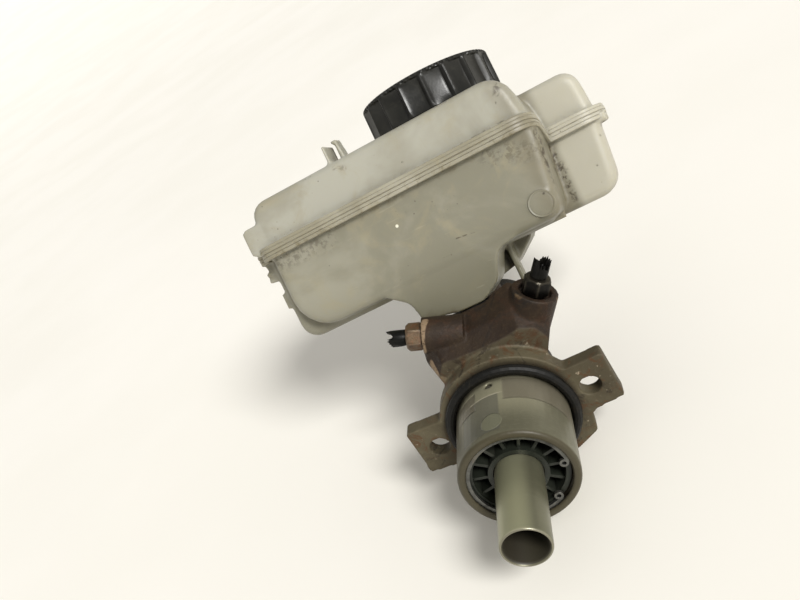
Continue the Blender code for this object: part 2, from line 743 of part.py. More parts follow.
def funnels():
    """For each outlet: its front outline, v, front, back, the foot of its pipe and the level of its floor."""
    rear_outline = rounded(
        [
            (-38.0, 92.0, 0.0),
            (-37.5, 83.8, 4.0),
            (-26.5, 75.5, 8.0),
            (-24.0, 64.5, 2.5),
            (-3.0, 60.3, 10.0),
            (11.0, 60.3, 12.0),
            (22.0, 67.0, 8.0),
            (28.5, 81.5, 8.0),
            (42.0, 84.0, 4.0),
            (44.0, 92.0, 0.0),
        ],
        steps=3,
    )
    front_outline = rounded(
        [
            (-30.0, 92.0, 0.0),
            (-22.0, 80.0, 6.0),
            (-14.0, 66.0, 4.0),
            (16.0, 66.0, 6.0),
            (29.0, 69.0, 6.0),
            (42.0, 79.0, 8.0),
            (50.0, 92.0, 0.0),
        ],
        steps=3,
    )
    rear_foot = REAR_INLET_TOP - 12.0
    front_foot = FRONT_INLET_TOP - 7.5
    return (
        ("rear", rear_outline, REAR_INLET_V, FRONT_V + 1.2, REAR_INLET_V + 12.0, rear_foot, 61.0),
        ("front", front_outline, FRONT_INLET_V, FRONT_INLET_V - 12.0, FRONT_INLET_V + 12.0, front_foot, 66.0),
    )


def build_lower_shell(reservoir):
    """The lower moulding, with its two funnels, outlet pipes, fixing legs, baffle and float guide."""
    lower = lower_blocks("reservoir_lower", 0.0, reservoir, WHITE_PLASTIC)
    cut(lower, beyond_seam("cut_above_seam", -GAP / 2, 190.0, reservoir))
    add(lower, seam_band("add_lower_rim", -SEAM_RIM_HALF, -GAP / 2, reservoir))
    for name, outline, v, front, back, foot, floor in funnels():
        add(lower, upright("add_" + name + "_funnel", outline, front, back, reservoir))
        place = {"location": (0.0, v, 0.0)}
        add(lower, rod("add_" + name + "_pipe", SPIGOT_PIPE_R, foot, floor + 2.0, reservoir, **place))
    add_trim(lower, reservoir)
    cut(lower, lower_blocks("cut_lower_cavity", WALL, reservoir))
    add_inside(lower, reservoir)
    for name, outline, v, front, back, foot, floor in funnels():
        centre_u = sum(u for u, w in outline) / len(outline)
        inside = []
        for u, w in outline:
            raised = w + WALL if w < 75.0 else w + 1.2
            inside.append((centre_u + (u - centre_u) * 0.86, raised))
        cut(lower, upright("cut_" + name + "_funnel", inside, front + WALL, back - WALL, reservoir))
    for name, outline, v, front, back, foot, floor in funnels():
        place = {"location": (0.0, v, 0.0)}
        label = "cut_" + name + "_pipe"
        cut(lower, rod(label, SPIGOT_PIPE_R - 2.0, foot - 2.0, floor + 5.2, reservoir, steps=20, **place))
    return lower


def across_place(v, w):
    """Place for a piece whose Z lies along u."""
    return {"location": (0.0, v, w), "rotation": (0.0, math.pi / 2, 0.0)}


def add_trim(lower, reservoir):
    """Small outside features of the lower moulding."""
    for side in (-1.0, 1.0):
        u = side * LEG_U
        leg = block("add_leg", (u - 1.5, PIN_V - 4.0, PIN_W - 5.0), (u + 1.5, PIN_V + 4.0, 86.0), reservoir)
        add(lower, leg)
        place = across_place(PIN_V, PIN_W)
        cut(lower, rod("cut_leg_eye", PIN_R + GAP, u - 4.0, u + 4.0, reservoir, steps=16, **place))
    place = {"location": (DISC_U, FRONT_V, DISC_W), "rotation": (math.pi / 2, 0.0, 0.0)}
    add(lower, rod("add_disc", DISC_R, -2.0, DISC_RISE, reservoir, steps=28, **place))
    low, high = (98.0, SETBACK_V + 1.0, 118.3), (105.4, SETBACK_V + 6.0, SETBACK_SEAM_W - 0.5)
    add(lower, block("add_right_lug", low, high, reservoir))
    wall_u = LEFT_BACK_U + 2.0
    for reach, level in LATCH_TEETH:
        add(lower, block("add_latch", (reach, 22.0, level - 1.2), (wall_u, 32.0, level + 1.2), reservoir))
    add(lower, block("add_latch_web", (-98.2, 23.0, 119.6), (wall_u, 31.0, 128.0), reservoir))
    add(lower, block("add_ledge", (-97.3, 22.5, 102.0), (wall_u, 38.0, 111.0), reservoir))


def add_inside(lower, reservoir):
    """Inside features of the lower moulding: a baffle, the float's guide post and the sensor's pocket."""
    baffle = block("add_baffle", (LEFT_BACK_U + 1.3, 40.0, 81.0), (RIGHT_U - 7.5, 42.0, 108.0), reservoir)
    post = rod("add_float_post", 3.0, 80.5, 128.0, reservoir, steps=16, location=(FLOAT_U, FLOAT_V, 0.0))
    place = across_place(SENSOR_V, SENSOR_W)
    pocket = rod("add_sensor_pocket", 6.8, LEFT_BACK_U + 1.3, -72.0, reservoir, steps=22, **place)
    add(lower, baffle, post, pocket)
    cut(lower, rod("cut_sensor_pocket", 4.6, LEFT_BACK_U - 8.0, -75.0, reservoir, steps=22, **place))


def upper_blocks(name, inset, reservoir, finish=None):
    """The three blocks that make up the upper moulding, shrunk by inset."""
    low = SETBACK_SEAM_W - 20.0
    main = [
        (LEFT_U, low, 0.0),
        (LEFT_U, TOP_W, 9.5),
        (RIGHT_U - 4.8, TOP_W, 14.5),
        (RIGHT_U, SEAM_W, 0.0),
        (RIGHT_U, low, 0.0),
    ]
    main_far = main[:2] + [(RIGHT_U - 12.0, TOP_W, 14.5)] + main[3:]
    step = [
        (LEFT_BACK_U, low, 0.0),
        (LEFT_BACK_U, SEAM_W + 12.0, 6.0),
        (-60.0, SEAM_W + 12.0, 0.0),
        (-60.0, low, 0.0),
    ]
    setback = [
        (30.0, low, 0.0),
        (30.0, SETBACK_TOP_W, 0.0),
        (SETBACK_U - 1.8, SETBACK_TOP_W, 9.5),
        (SETBACK_U, SETBACK_SEAM_W, 0.0),
        (SETBACK_U, low, 0.0),
    ]
    whole = moulded(name, main, FRONT_V, BACK_V, 5.5, inset, reservoir, finish, main_far)
    add(whole, moulded(name + "_step", step, LEFT_STEP_V, BACK_V - 0.4, 5.0, inset, reservoir))
    add(whole, moulded(name + "_setback", setback, SETBACK_V, BACK_V - 0.4, 5.0, inset, reservoir))
    return whole


def build_upper_shell(reservoir):
    """The upper moulding, with the filler neck, the hose clip and the end lug."""
    upper = upper_blocks("reservoir_upper", 0.0, reservoir, WHITE_PLASTIC)
    cut(upper, beyond_seam("cut_below_seam", GAP / 2, 60.0, reservoir))
    add(upper, seam_band("add_upper_rim", GAP / 2, SEAM_RIM_HALF, reservoir))
    place = {"location": (CAP_U, CAP_V, 0.0)}
    add(upper, rod("add_neck", NECK_R, TOP_W - 5.0, NECK_TOP_W, reservoir, steps=44, **place))
    add_clip(upper, reservoir)
    lug = rounded(
        [
            (LEFT_U + 4.0, SEAM_W + 0.4, 0.0),
            (LEFT_U + 4.0, SEAM_W + 17.6, 0.0),
            (LEFT_U - 8.8, SEAM_W + 17.6, 3.0),
            (LEFT_U - 8.8, SEAM_W + 3.0, 0.0),
            (LEFT_U - 5.0, SEAM_W + 0.4, 0.0),
        ],
        steps=3,
    )
    add(upper, upright("add_end_lug", lug, FRONT_V + 0.2, FRONT_V + 7.0, reservoir))
    cut(upper, upper_blocks("cut_upper_cavity", WALL, reservoir))
    cut(upper, rod("cut_neck", NECK_BORE_R, TOP_W - 8.0, NECK_TOP_W + 2.0, reservoir, steps=44, **place))
    return upper


def add_clip(upper, reservoir):
    """Two upright plates on the roof that hold a thin hose between them, the taller one with a hooked lip."""
    foot = TOP_W - 4.0
    add(upper, block("add_clip_plate", (-34.6, CLIP_V, foot), (-32.9, CLIP_V + 17.0, 172.4), reservoir))
    hook = [
        (-25.9, foot),
        (-27.6, 174.0),
        (-31.4, 174.0),
        (-31.4, 173.2),
        (-29.4, 171.6),
        (-29.4, foot),
    ]
    add(upper, upright("add_clip_hook", hook, CLIP_V + 8.5, CLIP_V + 17.5, reservoir))


def cap_outline(radius, depth):
    """A circle with wide shallow flutes between narrow ridges, each flute steeper at one side."""
    points = []
    shape = (0.0, 0.0, 0.9, 1.0, 0.85, 0.45)
    for index in range(CAP_LOBES * len(shape)):
        turn = (index + CAP_PHASE) / (CAP_LOBES * len(shape))
        angle = -FULL_TURN * turn
        reach = radius - depth * shape[index % len(shape)]
        points.append((reach * math.cos(angle), reach * math.sin(angle)))
    return points


def build_cap(reservoir):
    """The screw cap and the rubber seal that it carries."""
    axis = axes("cap_axis", (CAP_U, CAP_V, 0.0))
    axis.parent = reservoir
    sections = [
        (CAP_BOTTOM_W, cap_outline(CAP_R, 0.0)),
        (CAP_BOTTOM_W + 3.6, cap_outline(CAP_R, 0.0)),
        (CAP_BOTTOM_W + 4.8, cap_outline(CAP_R, 1.9)),
        (CAP_TOP_W - 2.6, cap_outline(CAP_R - 0.2, 1.9)),
        (CAP_TOP_W - 1.8, cap_outline(CAP_R - 0.2, 0.2)),
        (CAP_TOP_W - 0.7, cap_outline(CAP_R - 0.5, 0.0)),
        (CAP_TOP_W, cap_outline(CAP_R - 1.6, 0.0)),
    ]
    cap = lofted("filler_cap", sections, axis, BLACK_PLASTIC)
    bore_r = NECK_R + 2.0
    inside = [(0.0, CAP_BOTTOM_W - 1.0), (bore_r, CAP_BOTTOM_W - 1.0), (bore_r, 181.0), (0.0, 181.0)]
    cut(cap, turned("cut_cap_inside", inside, axis))
    seal = [
        (0.0, 179.0),
        (NECK_BORE_R - 2.0, 179.0),
        (NECK_BORE_R - 2.0, 175.0),
        (NECK_BORE_R - 0.5, 175.0),
        (NECK_BORE_R - 0.5, NECK_TOP_W + GAP),
        (NECK_R + 1.5, NECK_TOP_W + GAP),
        (NECK_R + 1.5, 180.7),
        (0.0, 180.7),
    ]
    turned("cap_seal", seal, axis, RUBBER, steps=36)


def build_reservoir_pieces(reservoir):
    """Grommets, the retaining pin, the float and the level sensor."""
    for name, v, top, depth in (
        ("grommet_rear", REAR_INLET_V, REAR_INLET_TOP, 13.0),
        ("grommet_front", FRONT_INLET_V, FRONT_INLET_TOP, 8.5),
    ):
        outline = [
            (SPIGOT_PIPE_R + GAP, top - depth),
            (INLET_BORE_R - GAP, top - depth),
            (INLET_BORE_R - GAP, top + GAP),
            (INLET_BOSS_R - 1.0, top + GAP),
            (INLET_BOSS_R - 1.0, top + 2.8),
            (SPIGOT_PIPE_R + GAP, top + 2.8),
        ]
        turned(name, outline, reservoir, RUBBER, steps=32, location=(0.0, v, 0.0))
    place = across_place(PIN_V, PIN_W)
    rod("reservoir_pin", PIN_R, -LEG_U - 4.5, LEG_U + 4.5, reservoir, STEEL, steps=16, **place)
    outline = [(3.4, 83.6), (FLOAT_R, 83.6), (FLOAT_R, 96.0), (3.4, 96.0)]
    turned("level_float", outline, reservoir, BLACK_PLASTIC, steps=28, location=(FLOAT_U, FLOAT_V, 0.0))
    build_sensor(reservoir)


def build_sensor(reservoir):
    """The reed sensor in its pocket, with a plug socket outside the left wall."""
    place = across_place(SENSOR_V, SENSOR_W)
    stem = rod("add_sensor_stem", 4.2, -101.0, -76.0, reservoir, steps=20, **place)
    place = {"location": (0.0, SENSOR_V, SENSOR_W)}
    low, high = (-112.0, -7.5, -5.0), (LEFT_BACK_U - GAP, 7.5, 5.0)
    sensor = block("level_sensor", low, high, reservoir, BLACK_PLASTIC, **place)
    add(sensor, stem)
    cut(sensor, block("cut_socket", (-114.0, -6.0, -3.6), (-103.5, 6.0, 3.6), reservoir, **place))
    for name, offset in (("sensor_terminal_a", -3.6), ("sensor_terminal_b", 3.6)):
        block(name, (-110.0, offset - 0.4, -1.3), (-103.5 - GAP, offset + 0.4, 1.3), reservoir, BRASS, **place)


def hexagon(across_flats):
    reach = across_flats / 2 / math.cos(math.pi / 6)
    return arc(reach, 0.0, FULL_TURN * 5 / 6, 5)


def ragged_tube(name, outer, inner, low, high, place):
    """A pipe end that was torn off: a tube whose rim rises and falls."""
    mesh = bmesh.new()
    sides = 12
    teeth = (0.0, 2.6, -1.5, 1.2, 3.4, -0.6)
    rings = []
    for radius, height in ((inner, low), (outer, low), (outer, high), (inner, high)):
        ring = []
        for side in range(sides):
            angle = FULL_TURN * side / sides
            rise = teeth[side % len(teeth)] if height == high else 0.0
            ring.append(mesh.verts.new((radius * math.cos(angle), radius * math.sin(angle), height + rise)))
        rings.append(ring)
    for first, second in zip(rings, rings[1:] + rings[:1]):
        for side in range(sides):
            following = (side + 1) % sides
            mesh.faces.new((first[side], first[following], second[following], second[side]))
    return piece(name, mesh, None, DARK_STEEL, **place)


def build_pipes():
    """The two pipe nuts, each with the broken end of its pipe."""
    outlets = (
        ("right", outlet_axis(right_face(), RIGHT_OUTLET_ANGLE), DARK_STEEL, -1.2, 7.7),
        ("left", outlet_axis(LEFT_FACE, LEFT_OUTLET_ANGLE), RUSTY_STEEL, -0.2, 8.5),
    )
    for side, place, finish, low, high in outlets:
        nut = prism("pipe_nut_" + side, hexagon(NUT_ACROSS_FLATS), low, high, None, finish, **place)
        add(nut, rod("add_nut_thread", 4.6, -14.0, low + 1.0, None, **place))
        cut(nut, rod("cut_nut_bore", 3.0, -15.0, high + 1.0, None, **place))
        ragged_tube("pipe_stub_" + side, 2.7, 1.7, -12.0, high + 8.0, place)
        sleeve = ragged_sleeve("add_stub_sleeve_" + side, high, place)
        add(bpy.data.objects["pipe_stub_" + side], sleeve)


def ragged_sleeve(name, foot, place):
    """The torn plastic coating that stands round a pipe end, just outside its nut."""
    mesh = bmesh.new()
    sides = 12
    teeth = (0.0, 2.2, -2.0, 0.8, 3.0, -1.0)
    rings = []
    for radius, height in ((2.2, foot + GAP), (4.6, foot + GAP), (4.6, foot + 9.0), (2.2, foot + 7.0)):
        ring = []
        for side in range(sides):
            angle = FULL_TURN * side / sides
            rise = teeth[(side * 5) % len(teeth)] if height > foot + 8.0 else 0.0
            ring.append(mesh.verts.new((radius * math.cos(angle), radius * math.sin(angle), height + rise)))
        rings.append(ring)
    for first, second in zip(rings, rings[1:] + rings[:1]):
        for side in range(sides):
            following = (side + 1) % sides
            mesh.faces.new((first[side], first[following], second[following], second[side]))
    return piece(name, mesh, None, **place)


def main():
    for old in list(bpy.data.objects):
        bpy.data.objects.remove(old, do_unlink=True)
    bore = axes("bore_axes", rotation=(-math.pi / 2, 0.0, 0.0))
    plates = axes("flange_axes", rotation=(math.pi / 2, 0.0, 0.0))
    reservoir = axes("reservoir_axes", rotation=(-TILT, 0.0, 0.0))
    build_casting(bore, plates, reservoir)
    build_spigot_pieces(bore)
    build_pistons(bore)
    build_lower_shell(reservoir)
    build_upper_shell(reservoir)
    build_cap(reservoir)
    build_reservoir_pieces(reservoir)
    build_pipes()


main()
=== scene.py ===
"""The looks of the brake master cylinder: finer shells, aged materials, floor, light and camera.

Lengths are in metres in the row frame. The reservoir's own axes lean by TILT about X: u runs across,
v forward and w up.
"""

import math

import bmesh
import bpy
from mathutils import Matrix, Vector, noise


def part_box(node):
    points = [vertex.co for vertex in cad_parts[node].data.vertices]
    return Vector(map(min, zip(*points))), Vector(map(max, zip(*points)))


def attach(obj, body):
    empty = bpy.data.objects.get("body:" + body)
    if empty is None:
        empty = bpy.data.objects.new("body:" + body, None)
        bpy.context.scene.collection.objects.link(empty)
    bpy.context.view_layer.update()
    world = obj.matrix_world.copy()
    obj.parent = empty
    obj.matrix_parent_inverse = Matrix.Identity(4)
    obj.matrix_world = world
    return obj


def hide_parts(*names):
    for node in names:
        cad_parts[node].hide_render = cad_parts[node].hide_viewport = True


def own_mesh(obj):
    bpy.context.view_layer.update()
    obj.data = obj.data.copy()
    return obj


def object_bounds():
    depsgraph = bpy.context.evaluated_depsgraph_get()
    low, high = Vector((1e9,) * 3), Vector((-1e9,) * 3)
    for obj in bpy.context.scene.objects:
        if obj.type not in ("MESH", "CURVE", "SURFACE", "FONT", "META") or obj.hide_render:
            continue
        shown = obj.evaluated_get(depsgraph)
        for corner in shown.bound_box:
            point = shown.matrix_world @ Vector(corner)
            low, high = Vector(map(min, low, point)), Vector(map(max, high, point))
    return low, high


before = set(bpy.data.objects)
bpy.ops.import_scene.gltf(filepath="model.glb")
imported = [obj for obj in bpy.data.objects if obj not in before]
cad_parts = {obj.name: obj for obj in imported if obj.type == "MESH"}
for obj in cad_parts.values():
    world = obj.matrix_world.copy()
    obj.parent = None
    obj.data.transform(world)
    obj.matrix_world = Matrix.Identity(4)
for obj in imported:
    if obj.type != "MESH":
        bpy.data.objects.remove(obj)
cad_low, cad_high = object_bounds()

MM = 0.001
FULL_TURN = 2 * math.pi
TILT = math.radians(25.0)
LEAN = Matrix.Rotation(-TILT, 4, "X")

# Directions in the row frame, and the reservoir's own up and forward
RIGHT = (1.0, 0.0, 0.0)
AHEAD = (0.0, 1.0, 0.0)
REARWARD = (0.0, -1.0, 0.0)
ABOVE = (0.0, 0.0, 1.0)
UP = (0.0, math.sin(TILT), math.cos(TILT))
FORWARD = (0.0, math.cos(TILT), -math.sin(TILT))

# The object's main places, in millimetres, as the CAD has them
PISTON_R = 11.9
CAP_U, CAP_V = 23.7, 55.7
CAP_BOTTOM, CAP_TOP = 163.0, 183.9
CAP_R = 38.9
CAP_BORE_R = 34.0
FLUTES = 18
RIGHT_ANGLE = math.radians(52.0)
RIGHT_FACE = (62.4 * math.cos(RIGHT_ANGLE), 62.4 * math.sin(RIGHT_ANGLE))
LEFT_FACE = (-25.2, 52.0)
LEFT_ANGLE = math.radians(158.0)
OUTLET_Y = 25.0
RIGHT_NUT_TOP = 7.7
LEFT_NUT_TOP = 8.5


# ---------------------------------------------------------------- node helpers


class Nodes:
    """A short way to write a material's nodes."""

    def __init__(self, name):
        self.material = bpy.data.materials.new(name)
        self.material.use_nodes = True
        self.tree = self.material.node_tree
        self.shader = self.tree.nodes["Principled BSDF"]
        place = self.tree.nodes.new("ShaderNodeTexCoord")
        self.place = place.outputs["Object"]
        self.geometry = self.tree.nodes.new("ShaderNodeNewGeometry")

    def link(self, value, socket):
        """Links an output to a socket, or sets the socket to a constant."""
        if isinstance(value, bpy.types.NodeSocket):
            self.tree.links.new(value, socket)
        else:
            socket.default_value = value

    def noise(self, scale, detail=4.0, rough=0.55, warp=0.0, stretch=None, shift=0.0):
        """Noise in the piece's own coordinates, with features of about 1/scale metres."""
        made = self.tree.nodes.new("ShaderNodeTexNoise")
        made.inputs["Scale"].default_value = scale
        made.inputs["Detail"].default_value = detail
        made.inputs["Roughness"].default_value = rough
        made.inputs["Distortion"].default_value = warp
        self.tree.links.new(self.placed(stretch, shift), made.inputs["Vector"])
        return made.outputs["Fac"]

    def placed(self, stretch, shift):
        """The piece's own coordinates, stretched and shifted."""
        if stretch is None and not shift:
            return self.place
        moved = self.tree.nodes.new("ShaderNodeMapping")
        moved.inputs["Scale"].default_value = stretch or (1.0, 1.0, 1.0)
        moved.inputs["Location"].default_value = (shift, shift * 0.7, -shift)
        self.tree.links.new(self.place, moved.inputs["Vector"])
        return moved.outputs["Vector"]

    def cells(self, scale, shift):
        """Distance to scattered points, for specks."""
        made = self.tree.nodes.new("ShaderNodeTexVoronoi")
        made.inputs["Scale"].default_value = scale
        self.tree.links.new(self.placed(None, shift), made.inputs["Vector"])
        return made.outputs["Distance"]

    def ramp(self, value, low, high, start=0.0, end=1.0):
        """A clamped, smooth map of value from low..high to start..end."""
        made = self.tree.nodes.new("ShaderNodeMapRange")
        made.interpolation_type = "SMOOTHSTEP"
        self.link(value, made.inputs["Value"])
        made.inputs["From Min"].default_value = low
        made.inputs["From Max"].default_value = high
        made.inputs["To Min"].default_value = start
        made.inputs["To Max"].default_value = end
        return made.outputs["Result"]

    def math(self, operation, first, second=0.0):
        """One sum, product or other operation on two values."""
        made = self.tree.nodes.new("ShaderNodeMath")
        made.operation = operation
        self.link(first, made.inputs[0])
        self.link(second, made.inputs[1])
        return made.outputs["Value"]

    def times(self, *values):
        """The product of all values."""
        result = values[0]
        for value in values[1:]:
            result = self.math("MULTIPLY", result, value)
        return result

    def most(self, *values):
        """The largest of all values."""
        result = values[0]
        for value in values[1:]:
            result = self.math("MAXIMUM", result, value)
        return result

    def mix(self, share, first, second):
        """A colour between first and second."""
        made = self.tree.nodes.new("ShaderNodeMix")
        made.data_type = "RGBA"
        self.link(share, made.inputs["Factor"])
        self.link(colour(first), made.inputs["A"])
        self.link(colour(second), made.inputs["B"])
        return made.outputs["Result"]

    def axis(self, direction):
        """Distance along a direction in the row frame, in metres."""
        return self.vector("DOT_PRODUCT", self.place, direction)

    def radius(self):
        """Distance from the bore's axis."""
        across, above = self.axis(RIGHT), self.axis(ABOVE)
        total = self.math("ADD", self.times(across, across), self.times(above, above))
        return self.math("SQRT", total)

    def window(self, value, low, high, soft):
        """1 between low and high, falling to 0 over a soft edge on each side."""
        rise = self.ramp(value, low - soft, low + soft)
        return self.times(rise, self.ramp(value, high - soft, high + soft, 1.0, 0.0))

    def near(self, start, end, inner, outer):
        """1 close to a straight line between two places, given in millimetres."""
        start, end = Vector(start) * MM, Vector(end) * MM
        line = end - start
        away = self.vector("SUBTRACT", self.place, start)
        share = self.math("DIVIDE", self.vector("DOT_PRODUCT", away, line), max(line.length_squared, 1e-9))
        share = self.math("MINIMUM", self.math("MAXIMUM", share, 0.0), 1.0)
        along = self.tree.nodes.new("ShaderNodeVectorMath")
        along.operation = "SCALE"
        along.inputs[0].default_value = line
        self.tree.links.new(share, along.inputs["Scale"])
        gap = self.vector("DISTANCE", away, along.outputs["Vector"])
        return self.ramp(gap, inner * MM, outer * MM, 1.0, 0.0)

    def vector(self, operation, first, second):
        """A vector operation: a vector for SUBTRACT, otherwise a number."""
        made = self.tree.nodes.new("ShaderNodeVectorMath")
        made.operation = operation
        self.link(first, made.inputs[0])
        self.link(second, made.inputs[1])
        return made.outputs["Vector" if operation == "SUBTRACT" else "Value"]

    def facing(self, direction):
        """How far the surface faces a direction, from -1 to 1."""
        return self.vector("DOT_PRODUCT", self.geometry.outputs["Normal"], direction)

    def edges(self, low, high):
        """Convex edges, where paint and dirt rub off."""
        return self.ramp(self.geometry.outputs["Pointiness"], low, high)

    def crevices(self, distance, low=0.55, high=0.95):
        """1 in corners and gaps, 0 in the open."""
        made = self.tree.nodes.new("ShaderNodeAmbientOcclusion")
        made.samples = 8
        made.inputs["Distance"].default_value = distance
        return self.ramp(made.outputs["AO"], low, high, 1.0, 0.0)

    def bump(self, height, strength, distance, after=None):
        """A normal bent by a height, on top of an earlier normal."""
        made = self.tree.nodes.new("ShaderNodeBump")
        made.inputs["Strength"].default_value = strength
        made.inputs["Distance"].default_value = distance
        self.link(height, made.inputs["Height"])
        if after is not None:
            self.tree.links.new(after, made.inputs["Normal"])
        return made.outputs["Normal"]

    def finish(self, base, roughness, normal=None, metallic=0.0, **constants):
        """Feeds the shader, and sets its other sockets to constants."""
        self.link(colour(base), self.shader.inputs["Base Color"])
        self.link(roughness, self.shader.inputs["Roughness"])
        self.link(metallic, self.shader.inputs["Metallic"])
        if normal is not None:
            self.tree.links.new(normal, self.shader.inputs["Normal"])
        for name, value in constants.items():
            self.shader.inputs[name.replace("_", " ")].default_value = value
        return self.material


def colour(value):
    """sRGB bytes as a linear colour; anything else unchanged."""
    if isinstance(value, tuple) and len(value) == 3:
        linear = []
        for channel in value:
            share = channel / 255
            linear.append(share / 12.92 if share <= 0.04045 else ((share + 0.055) / 1.055) ** 2.4)
        return (*linear, 1.0)
    return value


def reservoir_point(u, v, w):
    """A place in the reservoir's own axes, as one in the row frame, both in millimetres."""
    return LEAN @ Vector((u, v, w))


# Dark marks on the reservoir, scuffs and painted shade: two ends as (u, v, w), the radius where each is full
# and gone, and strength
SCUFFS_AND_EDGE_SHADE = (
    ((66.0, 9.0, 158.5), (62.0, 9.0, 152.0), 0.5, 2.6, 0.8),
    ((60.0, 8.5, 148.5), (59.0, 8.0, 146.5), 0.3, 1.2, 0.9),
    ((30.0, 11.0, 161.0), (38.0, 11.0, 161.2), 0.2, 0.9, 0.8),
    ((-60.0, 8.0, 136.0), (60.0, 8.0, 138.5), 0.1, 1.1, 0.55),
    # Painted shade along the right wall, down the front right edge and in the corner by the low block.
    ((72.4, 16.0, 121.0), (72.0, 44.0, 105.0), 0.8, 6.0, 0.95),
    ((71.0, 11.0, 126.0), (70.5, 12.0, 94.0), 0.6, 3.6, 0.95),
    ((72.5, 44.6, 120.0), (72.5, 44.6, 88.0), 0.6, 3.0, 0.9),
    ((-84.0, 8.0, 127.0), (-52.0, 8.0, 126.0), 1.0, 8.0, 0.45),
    ((92.0, 50.0, 104.0), (96.0, 60.0, 103.0), 0.2, 0.8, 0.8),
    ((46.0, 8.0, 127.0), (70.0, 10.0, 118.0), 1.0, 9.0, 0.4),
    ((-31.0, 9.0, 158.0), (-26.0, 9.0, 156.0), 0.3, 2.4, 0.5),
    ((12.0, 7.9, 96.0), (22.0, 7.9, 95.0), 0.1, 0.6, 0.8),
    ((2.0, 7.9, 90.0), (6.0, 7.9, 89.6), 0.1, 0.6, 0.8),
    ((-52.0, 10.5, 160.5), (-46.0, 10.0, 160.8), 0.2, 0.8, 0.6),
)
GATE_MARK = ((-13.8, 7.6, 115.7), (-13.8, 8.2, 115.7))
SEAM_BAND_LEVEL = 0.1305


def aged_plastic_with_light_and_shade(nodes, base, darker, broad, clouds):
    """The moulding's colour, cloudy and yellowed, with painted shade low down and at the front right bend,
    and painted light on the low block.
    """
    level = nodes.axis(UP)
    across = nodes.axis(RIGHT)
    plastic = nodes.mix(nodes.ramp(broad, 0.42, 0.6), base, darker)
    yellow = nodes.ramp(clouds, 0.5, 0.72, 0.0, 0.4)
    plastic = nodes.mix(yellow, plastic, (150, 141, 112))
    # Painted shade: darker low down.
    low = nodes.ramp(level, 0.06, 0.105, 0.85, 0.0)
    plastic = nodes.mix(low, plastic, (96, 93, 75))
    # Painted shade at the front right bend.
    bend = nodes.times(nodes.window(across, 0.06, 0.0725, 0.006), nodes.ramp(broad, 0.3, 0.6, 0.3, 0.6))
    plastic = nodes.mix(bend, plastic, (110, 103, 84))
    # Painted light: the low block at the right is made lighter.
    block = nodes.ramp(across, 0.072, 0.078, 0.0, 0.8)
    return nodes.mix(block, plastic, (176, 172, 157))


def grime_shade_and_stains(nodes, seed):
    """Shares of brown dirt with painted shade in corners, and of brown stains along the seam on the front.
    """
    # Painted shade: the occlusion in corners darkens them, broken up by patchy brown dirt.
    corner = nodes.crevices(0.007, 0.35, 0.9)
    patchy = nodes.ramp(nodes.noise(60.0, 8.0, 0.7, 1.2, shift=seed + 9.0), 0.42, 0.66)
    grime_and_shade = nodes.times(corner, nodes.ramp(patchy, 0.0, 1.0, 0.35, 0.95))
    from_seam = nodes.math("ABSOLUTE", nodes.math("SUBTRACT", nodes.axis(UP), SEAM_BAND_LEVEL))
    band = nodes.ramp(from_seam, 0.0, 0.0045, 1.0, 0.0)
    front = nodes.ramp(nodes.axis(FORWARD), 0.008, 0.03, 1.0, 0.0)
    stains = nodes.ramp(nodes.noise(90.0, 9.0, 0.7, 2.0, shift=seed), 0.47, 0.66, 0.0, 0.55)
    return grime_and_shade, nodes.times(band, front, stains)


def specks(nodes, seed):
    """Share of fine specks and of a few larger ones, with ragged outlines."""
    ragged = nodes.noise(700.0, 5.0, 0.7, 0.5, shift=seed)
    fine = nodes.math("ADD", nodes.cells(260.0, seed), nodes.times(ragged, 0.25))
    fine = nodes.ramp(fine, 0.17, 0.26, 1.0, 0.0)
    fine = nodes.times(fine, nodes.ramp(nodes.noise(30.0, 3.0, 0.5, shift=seed + 1.0), 0.54, 0.64))
    large = nodes.math("ADD", nodes.cells(75.0, seed + 2.0), nodes.times(ragged, 0.2))
    large = nodes.ramp(large, 0.12, 0.17, 1.0, 0.0)
    large = nodes.times(large, nodes.ramp(nodes.noise(22.0, 3.0, 0.5, shift=seed + 4.0), 0.55, 0.62))
    return nodes.most(nodes.times(fine, 0.55), nodes.times(large, 0.8))


